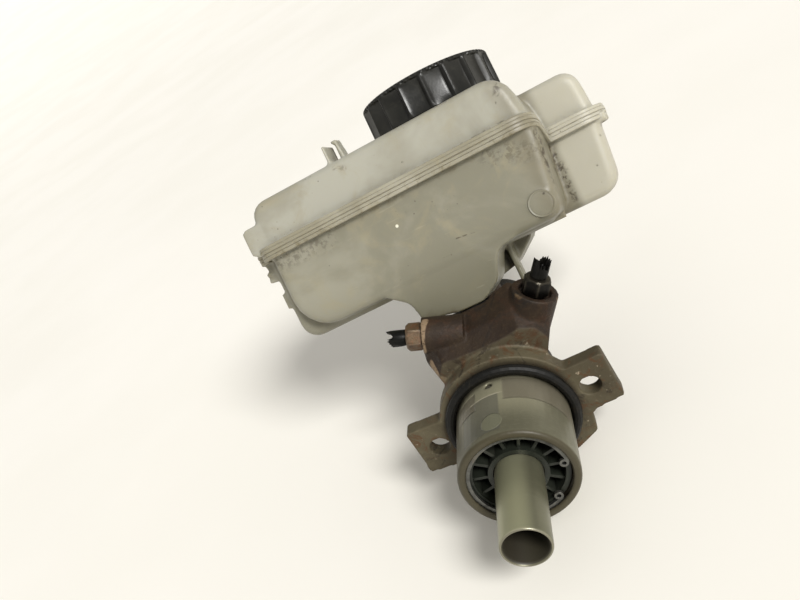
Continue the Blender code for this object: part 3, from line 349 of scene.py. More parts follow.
def reservoir_material(name, base, darker, seed):
    """Aged translucent polypropylene: yellowed, stained along the seam, speckled and finely scratched, with
    painted shade in corners, low down and along the front right edge.
    """
    nodes = Nodes(name)
    broad = nodes.noise(14.0, 5.0, 0.6, 0.4, shift=seed)
    clouds = nodes.noise(45.0, 6.0, 0.65, 0.8, shift=seed + 3.0)
    plastic = aged_plastic_with_light_and_shade(nodes, base, darker, broad, clouds)
    grime_and_shade, seam_stains = grime_shade_and_stains(nodes, seed)
    # Brown dirt and painted shade in corners.
    plastic = nodes.mix(nodes.times(grime_and_shade, 0.75), plastic, (72, 62, 40))
    plastic = nodes.mix(seam_stains, plastic, (92, 80, 48))
    # Dark smears run along the length, more of them to the right.
    streak = nodes.noise(70.0, 8.0, 0.75, 0.6, stretch=(0.35, 1.6, 1.6), shift=seed + 5.0)
    side = nodes.ramp(nodes.axis(RIGHT), -0.06, 0.075, 0.25, 1.0)
    smear = nodes.times(nodes.ramp(streak, 0.6, 0.74, 0.0, 0.5), side)
    plastic = nodes.mix(smear, plastic, (96, 88, 64))
    # Scuffs, and painted shade at the front right edge, the right wall and the corner by the low block.
    for start, finish, inner, outer, share in SCUFFS_AND_EDGE_SHADE:
        scuff_and_shade = nodes.near(reservoir_point(*start), reservoir_point(*finish), inner, outer)
        broken = nodes.ramp(nodes.noise(330.0, 6.0, 0.7, 0.5, shift=seed + inner), 0.46, 0.6)
        plastic = nodes.mix(nodes.times(scuff_and_shade, broken, share), plastic, (58, 48, 34))
    gate = nodes.near(reservoir_point(*GATE_MARK[0]), reservoir_point(*GATE_MARK[1]), 0.7, 1.0)
    plastic = nodes.mix(gate, plastic, (222, 218, 200))
    plastic = nodes.mix(specks(nodes, seed), plastic, (48, 40, 28))
    scratch = nodes.noise(420.0, 3.0, 0.6, stretch=(0.12, 1.0, 1.0), shift=seed)
    hair = nodes.times(nodes.ramp(scratch, 0.62, 0.7), nodes.ramp(clouds, 0.45, 0.6))
    plastic = nodes.mix(nodes.times(hair, 0.08), plastic, (205, 200, 180))
    rough = nodes.math("ADD", nodes.ramp(clouds, 0.3, 0.7, 0.36, 0.5), nodes.times(grime_and_shade, 0.25))
    normal = nodes.bump(clouds, 0.25, 0.0006)
    normal = nodes.bump(nodes.noise(900.0, 3.0, 0.6, shift=seed), 0.12, 0.0002, normal)
    normal = nodes.bump(hair, 0.2, 0.0001, normal)
    return nodes.finish(
        plastic,
        rough,
        normal,
        Subsurface_Weight=0.25,
        Subsurface_Scale=0.006,
        Subsurface_Radius=(1.0, 0.9, 0.6),
        IOR=1.49,
    )


# Where the left arm's edge is milled, as a line through these places, and where the right outlet is scraped
MILLED_EDGE = (
    (-19.3, 24.1, 60.0),
    (-23.0, 17.2, 57.3),
    (-27.6, 15.6, 47.0),
    (-26.8, 14.6, 38.9),
    (-22.9, 9.4, 30.6),
)
SCRAPED_TOP = ((26.5, 20.0, 58.0), (30.0, 14.5, 55.5))
SCRAPED_SIDE = ((47.5, 20.0, 41.0), (46.0, 16.0, 36.0))
PAD = ((0.5, -36.0, 30.5), (0.5, -35.9, 30.5))


def arm_look(nodes, broad, grain):
    """The outlet arms: dark brown as-cast iron, milled and scraped in places."""
    cast = nodes.mix(nodes.ramp(broad, 0.35, 0.65), (38, 27, 18), (48, 36, 23))
    brown = nodes.ramp(nodes.noise(60.0, 6.0, 0.7, 1.0, shift=2.0), 0.48, 0.66, 0.0, 0.7)
    cast = nodes.mix(brown, cast, (58, 37, 23))
    soot = nodes.ramp(nodes.noise(45.0, 7.0, 0.7, 0.8, shift=6.0), 0.54, 0.68, 0.0, 0.8)
    cast = nodes.mix(soot, cast, (27, 23, 18))
    cast = nodes.mix(nodes.ramp(grain, 0.5, 0.75, 0.0, 0.25), cast, (90, 72, 48))
    first, *others = zip(MILLED_EDGE, MILLED_EDGE[1:])
    milled = nodes.most(
        nodes.near(*first, 1.5, 2.2),
        *(nodes.near(*stretch, 1.7, 2.4) for stretch in others),
    )
    cast = nodes.mix(nodes.times(milled, nodes.ramp(grain, 0.35, 0.5), 0.9), cast, (136, 116, 92))
    top = nodes.near(*SCRAPED_TOP, 1.4, 3.6)
    cast = nodes.mix(nodes.times(top, nodes.ramp(grain, 0.42, 0.56), 0.9), cast, (158, 132, 96))
    side = nodes.near(*SCRAPED_SIDE, 1.0, 2.6)
    return nodes.mix(nodes.times(side, nodes.ramp(grain, 0.4, 0.55), 0.8), cast, (150, 128, 104))


def flange_look(nodes, broad, grain):
    """The flange: grey iron with rust, dark patches and pale chips."""
    plate = nodes.mix(nodes.ramp(broad, 0.38, 0.62), (92, 85, 66), (73, 66, 50))
    rust = nodes.ramp(nodes.noise(95.0, 8.0, 0.72, 1.2, shift=4.0), 0.5, 0.64)
    plate = nodes.mix(nodes.times(rust, 0.75), plate, (84, 54, 30))
    dark = nodes.ramp(nodes.noise(70.0, 8.0, 0.72, 0.8, shift=11.0), 0.56, 0.66, 0.0, 0.8)
    plate = nodes.mix(dark, plate, (44, 37, 28))
    plate = nodes.mix(nodes.ramp(grain, 0.58, 0.72, 0.0, 0.55), plate, (132, 124, 106))
    chips = nodes.noise(230.0, 5.0, 0.7, stretch=(1.0, 0.35, 1.0), shift=9.0)
    return nodes.mix(nodes.ramp(chips, 0.64, 0.7, 0.0, 0.8), plate, (172, 160, 138))


def spigot_look(nodes, broad, along, end):
    """The machined spigot, with painted shade on its left side and a painted highlight on top near the
    flange, and what was left as cast on it: two pockets and a flat strip with a round pad.

    Returns the colour and a height for the bump.
    """
    turn = nodes.math("DEGREES", nodes.math("ARCTAN2", nodes.axis(RIGHT), nodes.axis(ABOVE)))
    machined = nodes.mix(nodes.ramp(broad, 0.35, 0.65), (104, 102, 84), (96, 94, 77))
    streaks = nodes.noise(300.0, 5.0, 0.6, stretch=(1.0, 6.0, 1.0), shift=1.0)
    machined = nodes.mix(nodes.ramp(streaks, 0.45, 0.8, 0.0, 0.3), machined, (134, 130, 112))
    spots = nodes.ramp(nodes.noise(120.0, 6.0, 0.7, 0.8, shift=8.0), 0.6, 0.7, 0.0, 0.3)
    machined = nodes.mix(spots, machined, (88, 78, 60))
    # Painted shade: the side facing left is darker.
    left_side_shade = nodes.times(nodes.ramp(nodes.facing((-0.98, 0.0, 0.2)), 0.2, 0.9), 0.55)
    machined = nodes.mix(left_side_shade, machined, (72, 70, 57))
    # Painted highlight: the top near the flange is lighter.
    on_top = nodes.ramp(nodes.facing((0.1, -0.1, 0.99)), 0.5, 0.95)
    top_light_near_flange = nodes.times(on_top, nodes.ramp(along, -0.04, -0.018))
    machined = nodes.mix(nodes.times(top_light_near_flange, 0.65), machined, (160, 156, 132))
    right_turn, left_turn = nodes.window(turn, 14.0, 95.0, 1.5), nodes.window(turn, -42.0, -16.0, 1.5)
    right_pocket = nodes.times(right_turn, nodes.window(along, -0.0215, -0.0055, 0.0006))
    left_pocket = nodes.times(left_turn, nodes.window(along, -0.0215, -0.0085, 0.0006))
    pockets = nodes.most(right_pocket, left_pocket)
    strip = nodes.times(nodes.window(turn, -34.0, 9.0, 1.0), nodes.window(along, -0.0425, -0.0160, 0.0005))
    pad = nodes.near(*PAD, 5.4, 5.8)
    machined = nodes.mix(nodes.times(strip, 0.6), machined, (92, 92, 84))
    machined = nodes.mix(nodes.times(pockets, 0.75), machined, (110, 104, 90))
    machined = nodes.mix(nodes.times(pad, 0.8), machined, (118, 118, 98))
    ring = nodes.times(nodes.window(along, -0.0162, -0.0154, 0.0003), nodes.window(turn, -22.0, 13.0, 2.0))
    machined = nodes.mix(nodes.times(ring, 0.8), machined, (168, 162, 142))
    machined = nodes.mix(nodes.times(end, 0.85), machined, (58, 52, 36))
    relief = nodes.math("SUBTRACT", pad, pockets)
    return machined, nodes.math("SUBTRACT", relief, nodes.times(strip, 0.35))


def casting_material():
    """Cast iron: brown-stained arms, rusty grey flange and a worn, machined spigot with as-cast patches;
    painted shade in the mouth, in corners and on the spigot's left side, and a painted highlight on the
    spigot's top.
    """
    nodes = Nodes("casting")
    along = nodes.axis(AHEAD)
    broad = nodes.noise(30.0, 6.0, 0.6, 0.5)
    grain = nodes.noise(420.0, 6.0, 0.7)
    fine = nodes.noise(1500.0, 4.0, 0.6)
    is_arm = nodes.ramp(along, 0.0085, 0.0105)
    is_spigot = nodes.ramp(along, -0.0012, -0.0002, 1.0, 0.0)
    is_end = nodes.ramp(along, -0.0462, -0.0448, 1.0, 0.0)
    spigot, relief = spigot_look(nodes, broad, along, is_end)
    surface = nodes.mix(is_arm, flange_look(nodes, broad, grain), arm_look(nodes, broad, grain))
    surface = nodes.mix(is_spigot, surface, spigot)
    # Painted shade: inside the mouth it is made dark.
    in_bore = nodes.ramp(nodes.radius(), 0.0262, 0.0274, 1.0, 0.0)
    mouth = nodes.times(in_bore, nodes.ramp(along, -0.0466, -0.0452))
    surface = nodes.mix(nodes.times(mouth, 0.9), surface, (34, 31, 25))
    # Painted shade in corners and gaps.
    corner = nodes.crevices(0.006, 0.3, 0.85)
    surface = nodes.mix(nodes.times(corner, 0.65), surface, (34, 27, 20))
    worn = nodes.edges(0.53, 0.62)
    rubbed = nodes.ramp(nodes.noise(140.0, 6.0, 0.7, shift=12.0), 0.42, 0.6)
    surface = nodes.mix(nodes.times(worn, rubbed, 0.5), surface, (150, 136, 114))
    unevenness = nodes.ramp(broad, 0.3, 0.7, -0.06, 0.08)
    rough = nodes.math("ADD", nodes.ramp(is_spigot, 0.0, 1.0, 0.6, 0.38), unevenness)
    metal = nodes.math("SUBTRACT", nodes.ramp(is_spigot, 0.0, 1.0, 0.15, 0.35), nodes.times(is_end, 0.3))
    as_cast = nodes.most(is_arm, nodes.times(nodes.math("SUBTRACT", 1.0, is_spigot), 0.35))
    height = nodes.math("ADD", grain, nodes.times(fine, 0.4))
    normal = nodes.bump(nodes.times(height, nodes.ramp(as_cast, 0.0, 1.0, 0.1, 1.0)), 0.5, 0.0009)
    normal = nodes.bump(relief, 0.6, 0.0005, normal)
    return nodes.finish(surface, rough, normal, metal, Specular_IOR_Level=0.3)


def black_plastic_material(name, base, light, seed, wear, hollow, shine):
    """Dull black plastic with dust, rub marks, fine moulding texture and painted shade in corners.

    wear is the share of pale edges, hollow the strength of painted shade in corners, and shine the gloss and
    the dust on it.
    """
    nodes = Nodes(name)
    broad = nodes.noise(40.0, 6.0, 0.65, 0.6, shift=seed)
    dust = nodes.ramp(nodes.noise(150.0, 7.0, 0.7, 1.0, shift=seed + 3.0), 0.5, 0.72, 0.0, 0.35)
    shade = nodes.mix(nodes.ramp(broad, 0.35, 0.7, 0.0, 0.5), base, light)
    shade = nodes.mix(nodes.times(dust, shine), shade, (78, 75, 65))
    worn = nodes.edges(0.54, 0.64)
    shade = nodes.mix(nodes.times(worn, wear), shade, (104, 101, 90))
    # Painted shade in corners and gaps.
    corner = nodes.crevices(0.004, 0.3, 0.85)
    shade = nodes.mix(nodes.times(corner, hollow), shade, (8, 8, 7))
    rough = nodes.ramp(broad, 0.3, 0.7, 0.28, 0.46)
    normal = nodes.bump(nodes.noise(1100.0, 3.0, 0.6, shift=seed), 0.15, 0.0003)
    return nodes.finish(shade, rough, normal, Specular_IOR_Level=shine)


def rubber_material():
    """Black rubber with brown dust."""
    nodes = Nodes("rubber")
    broad = nodes.noise(80.0, 6.0, 0.65, 0.6)
    shade = nodes.mix(nodes.ramp(broad, 0.35, 0.7), (8, 8, 6), (15, 14, 11))
    dust = nodes.ramp(nodes.noise(240.0, 7.0, 0.7, 1.0, shift=3.0), 0.52, 0.72, 0.0, 0.4)
    shade = nodes.mix(nodes.times(dust, 0.6), shade, (70, 62, 48))
    rough = nodes.ramp(broad, 0.3, 0.7, 0.4, 0.62)
    normal = nodes.bump(nodes.noise(900.0, 4.0, 0.6), 0.2, 0.0003)
    return nodes.finish(shade, rough, normal, Specular_IOR_Level=0.25)


def anodised_material(name):
    """Grey-green hard anodised aluminium with a painted highlight on top, a bright edge that is partly wear
    and partly painted highlight, and a brown end face and socket.
    """
    nodes = Nodes(name)
    broad = nodes.noise(45.0, 6.0, 0.6, 0.5)
    shade = nodes.mix(nodes.ramp(broad, 0.35, 0.68), (110, 109, 88), (98, 97, 78))
    rings = nodes.noise(110.0, 4.0, 0.6, stretch=(0.05, 6.0, 0.05))
    shade = nodes.mix(nodes.ramp(rings, 0.45, 0.8, 0.0, 0.15), shade, (136, 136, 112))
    marks = nodes.noise(160.0, 6.0, 0.7, 0.6, shift=4.0)
    shade = nodes.mix(nodes.ramp(marks, 0.62, 0.72, 0.0, 0.2), shade, (92, 88, 68))
    # Painted highlight: faces turned up are lighter.
    top = nodes.ramp(nodes.facing((-0.2, -0.1, 0.97)), 0.45, 0.95)
    shade = nodes.mix(nodes.times(top, 0.7), shade, (166, 165, 134))
    face = nodes.ramp(nodes.facing(REARWARD), 0.5, 0.85)
    shade = nodes.mix(nodes.times(face, 0.9), shade, (66, 60, 46))
    # The bright edge is partly wear and partly a painted highlight on the rim.
    worn = nodes.edges(0.52, 0.58)
    shade = nodes.mix(nodes.times(worn, 0.8), shade, (184, 180, 160))
    inside = nodes.ramp(nodes.radius(), 0.0103, 0.0108, 1.0, 0.0)
    shade = nodes.mix(nodes.times(inside, 0.95), shade, (38, 33, 24))
    rough = nodes.math("ADD", nodes.ramp(rings, 0.3, 0.7, 0.3, 0.36), nodes.times(inside, 0.2))
    metal = nodes.ramp(inside, 0.0, 1.0, 0.5, 0.05)
    normal = nodes.bump(rings, 0.06, 0.0001)
    return nodes.finish(shade, rough, normal, metal)


def steel_material(name, base, dark, rust_share, seed=0.0):
    """Plain or rusting steel with painted shade in corners; rust_share from 0 to 1 also makes it rougher and
    less metallic.
    """
    nodes = Nodes(name)
    broad = nodes.noise(120.0, 7.0, 0.65, 0.8, shift=seed)
    shade = nodes.mix(nodes.ramp(broad, 0.35, 0.68), base, dark)
    rust = nodes.ramp(nodes.noise(260.0, 8.0, 0.75, 1.2, shift=seed + 5.0), 0.62 - 0.2 * rust_share, 0.72)
    shade = nodes.mix(nodes.times(rust, rust_share), shade, (122, 78, 50))
    spots = nodes.ramp(nodes.noise(500.0, 6.0, 0.7, shift=seed + 2.0), 0.58, 0.68, 0.0, 0.6 * rust_share)
    shade = nodes.mix(spots, shade, (54, 36, 24))
    # Painted shade in corners and gaps.
    corner = nodes.crevices(0.003, 0.3, 0.85)
    shade = nodes.mix(nodes.times(corner, 0.5), shade, (28, 22, 17))
    worn = nodes.edges(0.52, 0.6)
    shade = nodes.mix(nodes.times(worn, 0.3), shade, (130, 122, 106))
    rough = nodes.math("ADD", nodes.ramp(broad, 0.3, 0.7, 0.3, 0.45), nodes.times(rust, 0.4 * rust_share))
    normal = nodes.bump(nodes.noise(700.0, 6.0, 0.7, shift=seed), 0.25 + 0.4 * rust_share, 0.0004)
    return nodes.finish(shade, rough, normal, 0.85 - 0.55 * rust_share)


# ---------------------------------------------------------------- shape helpers


def new_piece(name, mesh, body, material, replaced=(), angle=35.0):
    """Turns a bmesh in metres into a piece that rides on a body."""
    data = bpy.data.meshes.new(name)
    bmesh.ops.recalc_face_normals(mesh, faces=mesh.faces)
    mesh.to_mesh(data)
    mesh.free()
    data.shade_smooth()
    data.set_sharp_from_angle(angle=math.radians(angle))
    data.materials.append(material)
    made = bpy.data.objects.new(name, data)
    bpy.context.scene.collection.objects.link(made)
    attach(made, body)
    if replaced:
        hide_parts(*replaced)
    return made


def copy_of(node):
    """A CAD node's mesh as a bmesh with its doubled vertices joined."""
    mesh = bmesh.new()
    mesh.from_mesh(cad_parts[node].data)
    bmesh.ops.remove_doubles(mesh, verts=mesh.verts, dist=0.0000008)
    return mesh


def softened(name, node, material, voxel):
    """A remeshed copy of one of the housing's nodes, with the small fillets of casting and moulding."""
    made = new_piece(name, copy_of(node), "housing", material, (node,))
    remesh = made.modifiers.new("remesh", "REMESH")
    remesh.mode = "VOXEL"
    remesh.voxel_size = voxel
    remesh.use_smooth_shade = True
    smooth = made.modifiers.new("smooth", "SMOOTH")
    smooth.factor = 0.5
    smooth.iterations = 4


def edged(name, node, material, width):
    """A copy of one of the housing's nodes with its sharp edges rounded by a bevel."""
    mesh = copy_of(node)
    bmesh.ops.dissolve_limit(
        mesh, angle_limit=math.radians(1.0), verts=mesh.verts, edges=mesh.edges, delimit={"NORMAL"}
    )
    made = new_piece(name, mesh, "housing", material, (node,))
    bevel = made.modifiers.new("bevel", "BEVEL")
    bevel.width = width
    bevel.segments = 2
    bevel.limit_method = "ANGLE"
    bevel.angle_limit = math.radians(30.0)


def turned(radius, angle, height):
    """A point in metres from a radius and a height in millimetres."""
    return Vector((radius * math.cos(angle), radius * math.sin(angle), height)) * MM


def bridge(mesh, rings, closed=False):
    """Joins each ring of vertices to the next, and the last to the first if closed."""
    for first, second in zip(rings, rings[1:] + rings[:1] if closed else rings[1:]):
        for step in range(len(first)):
            following = (step + 1) % len(first)
            mesh.faces.new((first[step], first[following], second[following], second[step]))


def lathe(mesh, outline, place, steps):
    """Adds an outline of (radius, height) in millimetres, turned about Z, placed and closed at both ends."""
    rings = []
    for radius, height in outline:
        angles = [FULL_TURN * step / steps for step in range(steps)]
        rings.append([mesh.verts.new(place @ turned(radius, angle, height)) for angle in angles])
    bridge(mesh, rings)
    mesh.faces.new(rings[0])
    mesh.faces.new(rings[-1])


def along_bore():
    """Place whose Z runs forward along the bore."""
    return Matrix.Rotation(-math.pi / 2, 4, "X")


def leaving(face, angle):
    """Place whose Z leaves an outlet's face."""
    turn = Matrix.Rotation(math.pi / 2 - angle, 4, "Y")
    return Matrix.Translation(Vector((face[0], OUTLET_Y, face[1])) * MM) @ turn


def reservoir_place(u, v, w):
    """Place with the reservoir's own axes, from millimetres."""
    return LEAN @ Matrix.Translation(Vector((u, v, w)) * MM)


# ---------------------------------------------------------------- materials of the pieces

# The lower shell is the same plastic as the upper; its darker colours are painted shade.
shell_upper = reservoir_material("plastic_upper", (164, 162, 150), (148, 145, 131), 1.0)
shell_lower_shaded = reservoir_material("plastic_lower_shaded", (144, 141, 126), (126, 123, 107), 7.0)
seam_plastic = reservoir_material("plastic_seam", (158, 154, 138), (138, 133, 115), 12.0)
casting = casting_material()
cap_plastic = black_plastic_material("cap_plastic", (17, 17, 14), (40, 39, 33), 0.0, 0.35, 0.85, 0.4)
guide_plastic = black_plastic_material("guide_plastic", (34, 37, 31), (43, 46, 39), 5.0, 0.1, 0.45, 0.3)
rubber = rubber_material()
anodised = anodised_material("anodised")
plain_steel = steel_material("plain_steel", (128, 126, 118), (92, 90, 84), 0.25)
spring_steel = steel_material("spring_steel", (108, 108, 104), (72, 72, 70), 0.1, 3.0)
rusty_steel = steel_material("rusty_steel", (98, 80, 58), (70, 52, 36), 0.8, 6.0)
dark_steel = steel_material("dark_steel", (17, 15, 12), (11, 10, 8), 0.15, 9.0)
torn_plastic = black_plastic_material("torn_plastic", (6, 6, 5), (14, 14, 12), 8.0, 0.05, 0.8, 0.12)
brass = steel_material("brass", (190, 152, 88), (140, 108, 60), 0.05, 2.0)

# Nodes that keep their CAD shape
NODE_FINISHES = {
    "flange_o_ring": rubber,
    "vacuum_seal": rubber,
    "primary_cup": rubber,
    "secondary_rear_cup": rubber,
    "secondary_cup": rubber,
    "cap_seal": rubber,
    "grommet_rear": rubber,
    "grommet_front": rubber,
    "supply_sleeve": plain_steel,
    "supply_hole_plug": plain_steel,
    "captive_screw": plain_steel,
    "spring_retainer": plain_steel,
    "reservoir_pin": plain_steel,
    "secondary_piston": anodised,
    "level_float": guide_plastic,
    "level_sensor": guide_plastic,
    "sensor_terminal_a": brass,
    "sensor_terminal_b": brass,
}
for node, finish in NODE_FINISHES.items():
    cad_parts[node].data.materials.clear()
    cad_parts[node].data.materials.append(finish)

softened("reservoir_lower_shell", "reservoir_lower", shell_lower_shaded, 0.0009)
softened("reservoir_upper_shell", "reservoir_upper", shell_upper, 0.0009)
softened("casting_shell", "cylinder_body", casting, 0.0007)
edged("piston_guide_ring", "piston_guide", guide_plastic, 0.0003)
edged("circlip_ring", "circlip", spring_steel, 0.00025)


# ---------------------------------------------------------------- pieces built from scratch

PER_FLUTE = 16
CAP_STEPS = FLUTES * PER_FLUTE
# Height, inset of the crest, depth of the flutes and depth of the notches, from the skirt up
CAP_LEVELS = (
    (CAP_BOTTOM, 0.7, 0.6, 0.0),
    (CAP_BOTTOM + 0.4, 0.2, 1.0, 0.0),
    (CAP_BOTTOM + 1.2, 0.0, 1.6, 0.0),
    (CAP_BOTTOM + 4.0, 0.0, 2.3, 0.0),
    (CAP_BOTTOM + 10.0, 0.1, 2.5, 0.0),
    (CAP_TOP - 4.0, 0.2, 2.2, 0.0),
    (CAP_TOP - 2.5, 0.2, 1.6, 0.0),
    (CAP_TOP - 1.9, 0.2, 0.5, 0.35),
    (CAP_TOP - 1.5, 0.3, 0.0, 0.7),
    (CAP_TOP - 0.7, 0.5, 0.0, 0.8),
    (CAP_TOP - 0.2, 1.0, 0.0, 0.6),
    (CAP_TOP, 1.7, 0.0, 0.0),
)
# Radius and drop of the lid's shallow dish
CAP_DISH = ((34.5, 0.0), (34.0, -0.5), (33.0, -0.6), (12.0, -0.6), (11.0, -0.1), (9.5, 0.0), (1.0, 0.0))
# Radius and height of the hollow
CAP_INSIDE = ((CAP_BORE_R + 0.4, CAP_BOTTOM), (CAP_BORE_R, CAP_BOTTOM + 0.6), (CAP_BORE_R, 181.0))


def flute(index):
    """A flute's scoop from 0 to 1: steep at one side, gentle at the other."""
    share = (index % PER_FLUTE) / PER_FLUTE
    if share < 0.1:
        return 0.0
    if share < 0.22:
        return math.sin((share - 0.1) / 0.12 * math.pi / 2)
    return math.cos((share - 0.22) / 0.78 * math.pi / 2) ** 0.7


def cap_ring(mesh, level, radii):
    """A ring of vertices round the cap's axis, with a radius for each step."""
    ring = []
    for index, radius in enumerate(radii):
        ring.append(mesh.verts.new(turned(radius, -FULL_TURN * index / CAP_STEPS, level)))
    return ring


def build_cap():
    """The fluted screw cap, with a plain skirt, a notched top edge and a hollow inside."""
    mesh = bmesh.new()
    outside = []
    for level, inset, depth, notch in CAP_LEVELS:
        radii = []
        for index in range(CAP_STEPS):
            cut = notch if index % 4 < 2 else 0.0
            radii.append(CAP_R - inset - depth * flute(index) - cut)
        outside.append(cap_ring(mesh, level, radii))
    for radius, drop in CAP_DISH:
        outside.append(cap_ring(mesh, CAP_TOP + drop, [radius] * CAP_STEPS))
    inside = [outside[0]]
    for radius, level in CAP_INSIDE:
        inside.append(cap_ring(mesh, level, [radius] * CAP_STEPS))
    for rings in (outside, inside):
        bridge(mesh, rings)
        mesh.faces.new(rings[-1])
    mesh.transform(reservoir_place(CAP_U, CAP_V, 0.0))
    new_piece("fluted_cap", mesh, "cap", cap_plastic, ("filler_cap",), 28.0)


def build_piston():
    """The primary piston, with a rounded, worn rim."""
    low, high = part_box("primary_piston")
    rear, front = low.y / MM, high.y / MM
    outline = [
        (1.0, -34.0),
        (9.7, -34.0),
        (9.9, -34.2),
        (9.9, rear + 1.6),
        (10.2, rear + 0.9),
        (10.7, rear + 0.25),
        (11.0, rear),
        (11.3, rear + 0.05),
        (11.7, rear + 0.35),
        (11.88, rear + 0.9),
        (PISTON_R, rear + 1.4),
        (PISTON_R, front - 0.8),
        (PISTON_R - 0.5, front),
        (8.8, front),
        (8.8, -20.0),
        (1.0, -20.0),
    ]
    mesh = bmesh.new()
    lathe(mesh, outline, along_bore(), 96)
    new_piece("piston_tube", mesh, "primary", anodised, ("primary_piston",), 40.0)


NUT_FLATS_R = 6.5
NUT_CORNERS_R = NUT_FLATS_R / math.cos(math.pi / 6)


def build_nut(side, place, low, high, material):
    """A hexagon nut with chamfered corners and a round washer face, and its thread below."""
    mesh = bmesh.new()
    steps = 72
    # The radius that limits the hexagon, and the height
    sections = [
        (4.6, -14.0),
        (4.6, low + 0.2),
        (NUT_FLATS_R - 0.2, low),
        (NUT_CORNERS_R - 0.5, low + 0.6),
        (NUT_CORNERS_R, low + 1.2),
        (NUT_CORNERS_R, high - 1.6),
        (NUT_CORNERS_R - 0.6, high - 0.8),
        (NUT_FLATS_R - 0.3, high),
        (3.4, high),
        (3.0, high - 0.5),
        (3.0, -14.0),
    ]
    rings = []
    for limit, level in sections:
        ring = []
        for step in range(steps):
            angle = FULL_TURN * step / steps
            from_flat = (angle + math.pi / 6) % (math.pi / 3) - math.pi / 6
            radius = min(NUT_FLATS_R / math.cos(from_flat), limit)
            ring.append(mesh.verts.new(place @ turned(radius, angle, level)))
        rings.append(ring)
    bridge(mesh, rings, closed=True)
    new_piece("pipe_nut_" + side + "_skin", mesh, "housing", material, ("pipe_nut_" + side,), 24.0)


def torn_point(radius, angle, level, foot, seed, coat):
    """A point of a torn pipe end: its edge is ragged, more so on the coat, which is also dented."""
    across = Vector((math.cos(angle), math.sin(angle), 0.0))
    rise = 0.0
    if level > foot + 4.0:
        jag = noise.noise(across * 2.6 + Vector((0.0, 0.0, seed + coat)))
        spike = noise.noise(across * 7.0 + Vector((0.0, 0.0, seed + 4.0 + coat)))
        rise = min((jag * 5.0 + spike * 4.0) * (1.0 if coat else 0.25), 3.2)
    if coat:
        radius *= 1.0 + 0.16 * noise.noise(across + Vector((0.0, 0.0, level * 0.5 + seed)))
    return turned(radius, angle, level + rise)


def build_stub(side, place, foot, seed):
    """A torn pipe end: a thin steel tube inside the ragged remains of its plastic coat."""
    mesh = bmesh.new()
    steps = 48
    tube = ((1.7, -12.0), (2.7, -12.0), (2.7, foot + 5.4), (2.3, foot + 6.2), (1.7, foot + 5.6))
    coat = ((2.8, foot + 0.4), (4.2, foot + 0.5), (4.5, foot + 3.0), (4.3, foot + 8.0), (3.0, foot + 7.0))
    for number, layer in enumerate((tube, coat)):
        rings = []
        for radius, level in layer:
            ring = []
            for step in range(steps):
                point = torn_point(radius, FULL_TURN * step / steps, level, foot, seed, number)
                ring.append(mesh.verts.new(place @ point))
            rings.append(ring)
        bridge(mesh, rings, closed=True)
    name = "pipe_stub_" + side
    new_piece(name + "_torn", mesh, "housing", torn_plastic, (name,), 50.0)


# The seam's corners as u, v and radius, its height, and how far it drops to the low block
SEAM_CORNERS = (
    (-88.0, 8.0, 5.0),
    (70.0, 8.0, 10.0),
    (70.0, 45.0, 5.0),
    (101.5, 45.0, 10.0),
    (101.5, 96.0, 12.0),
    (-96.0, 96.0, 12.0),
    (-96.0, 20.0, 5.0),
    (-88.0, 20.0, 3.0),
)
SEAM_W = 134.0
SEAM_DROP = 9.7
# The weld's ridges as reach and rise, from the foot up
RIDGES = (
    (3.0, -3.9), (4.2, -3.9), (4.7, -3.6), (4.8, -2.2), (4.75, -2.0), (4.5, -1.9), (4.5, -1.8),
    (4.8, -1.6), (4.9, -0.5), (4.85, -0.3), (4.55, -0.15), (4.55, 0.1), (4.95, 0.3), (5.1, 0.5),
    (5.1, 1.7), (5.0, 1.9), (4.7, 2.0), (4.65, 2.15), (4.75, 2.3), (4.75, 3.5), (4.2, 3.9), (3.0, 3.9),
)


def seam_bends():
    """The rim's path round its corners, as pairs of a place and the direction outward, in u and v."""
    steps = 8
    path = []
    for index, (u, v, size) in enumerate(SEAM_CORNERS):
        here = Vector((u, v))
        back = (Vector(SEAM_CORNERS[index - 1][:2]) - here).normalized()
        on = (Vector(SEAM_CORNERS[(index + 1) % len(SEAM_CORNERS)][:2]) - here).normalized()
        convex = back.cross(on) < 0.0
        centre = here + (back + on) * size
        for step in range(steps + 1):
            angle = math.pi / 2 * step / steps
            out = -on * math.cos(angle) - back * math.sin(angle)
            path.append((centre + out * size, out if convex else -out))
    return path


def seam_path():
    """The whole path, with extra places on the straight runs, so that the rim can follow the drop."""
    path = []
    bends = seam_bends()
    for (start, out), (finish, following_out) in zip(bends, bends[1:] + bends[:1]):
        count = max(1, round((finish - start).length / 3.0))
        for step in range(count):
            share = step / count
            path.append((start.lerp(finish, share), out.lerp(following_out, share).normalized()))
    return path


def ease(value):
    """A smooth step from 0 to 1."""
    value = min(max(value, 0.0), 1.0)
    return value * value * (3.0 - 2.0 * value)


def seam_level(u, v):
    """The seam drops round the front right corner, down to the low block."""
    return SEAM_W - SEAM_DROP * ease((u - 62.5) / 10.0) * ease((v - 5.0) / 37.0)


def build_seam():
    """The welded rim, with the fine ridges and grooves of the weld, over the two shells' edges."""
    mesh = bmesh.new()
    rings = []
    for point, out in seam_path():
        ring = []
        for reach, rise in RIDGES:
            place = point + out * reach
            level = seam_level(place.x, place.y) + rise
            ring.append(mesh.verts.new(Vector((place.x, place.y, level)) * MM))
        rings.append(ring)
    bridge(mesh, rings, closed=True)
    mesh.transform(LEAN)
    new_piece("seam_rim", mesh, "housing", seam_plastic, (), 24.0)


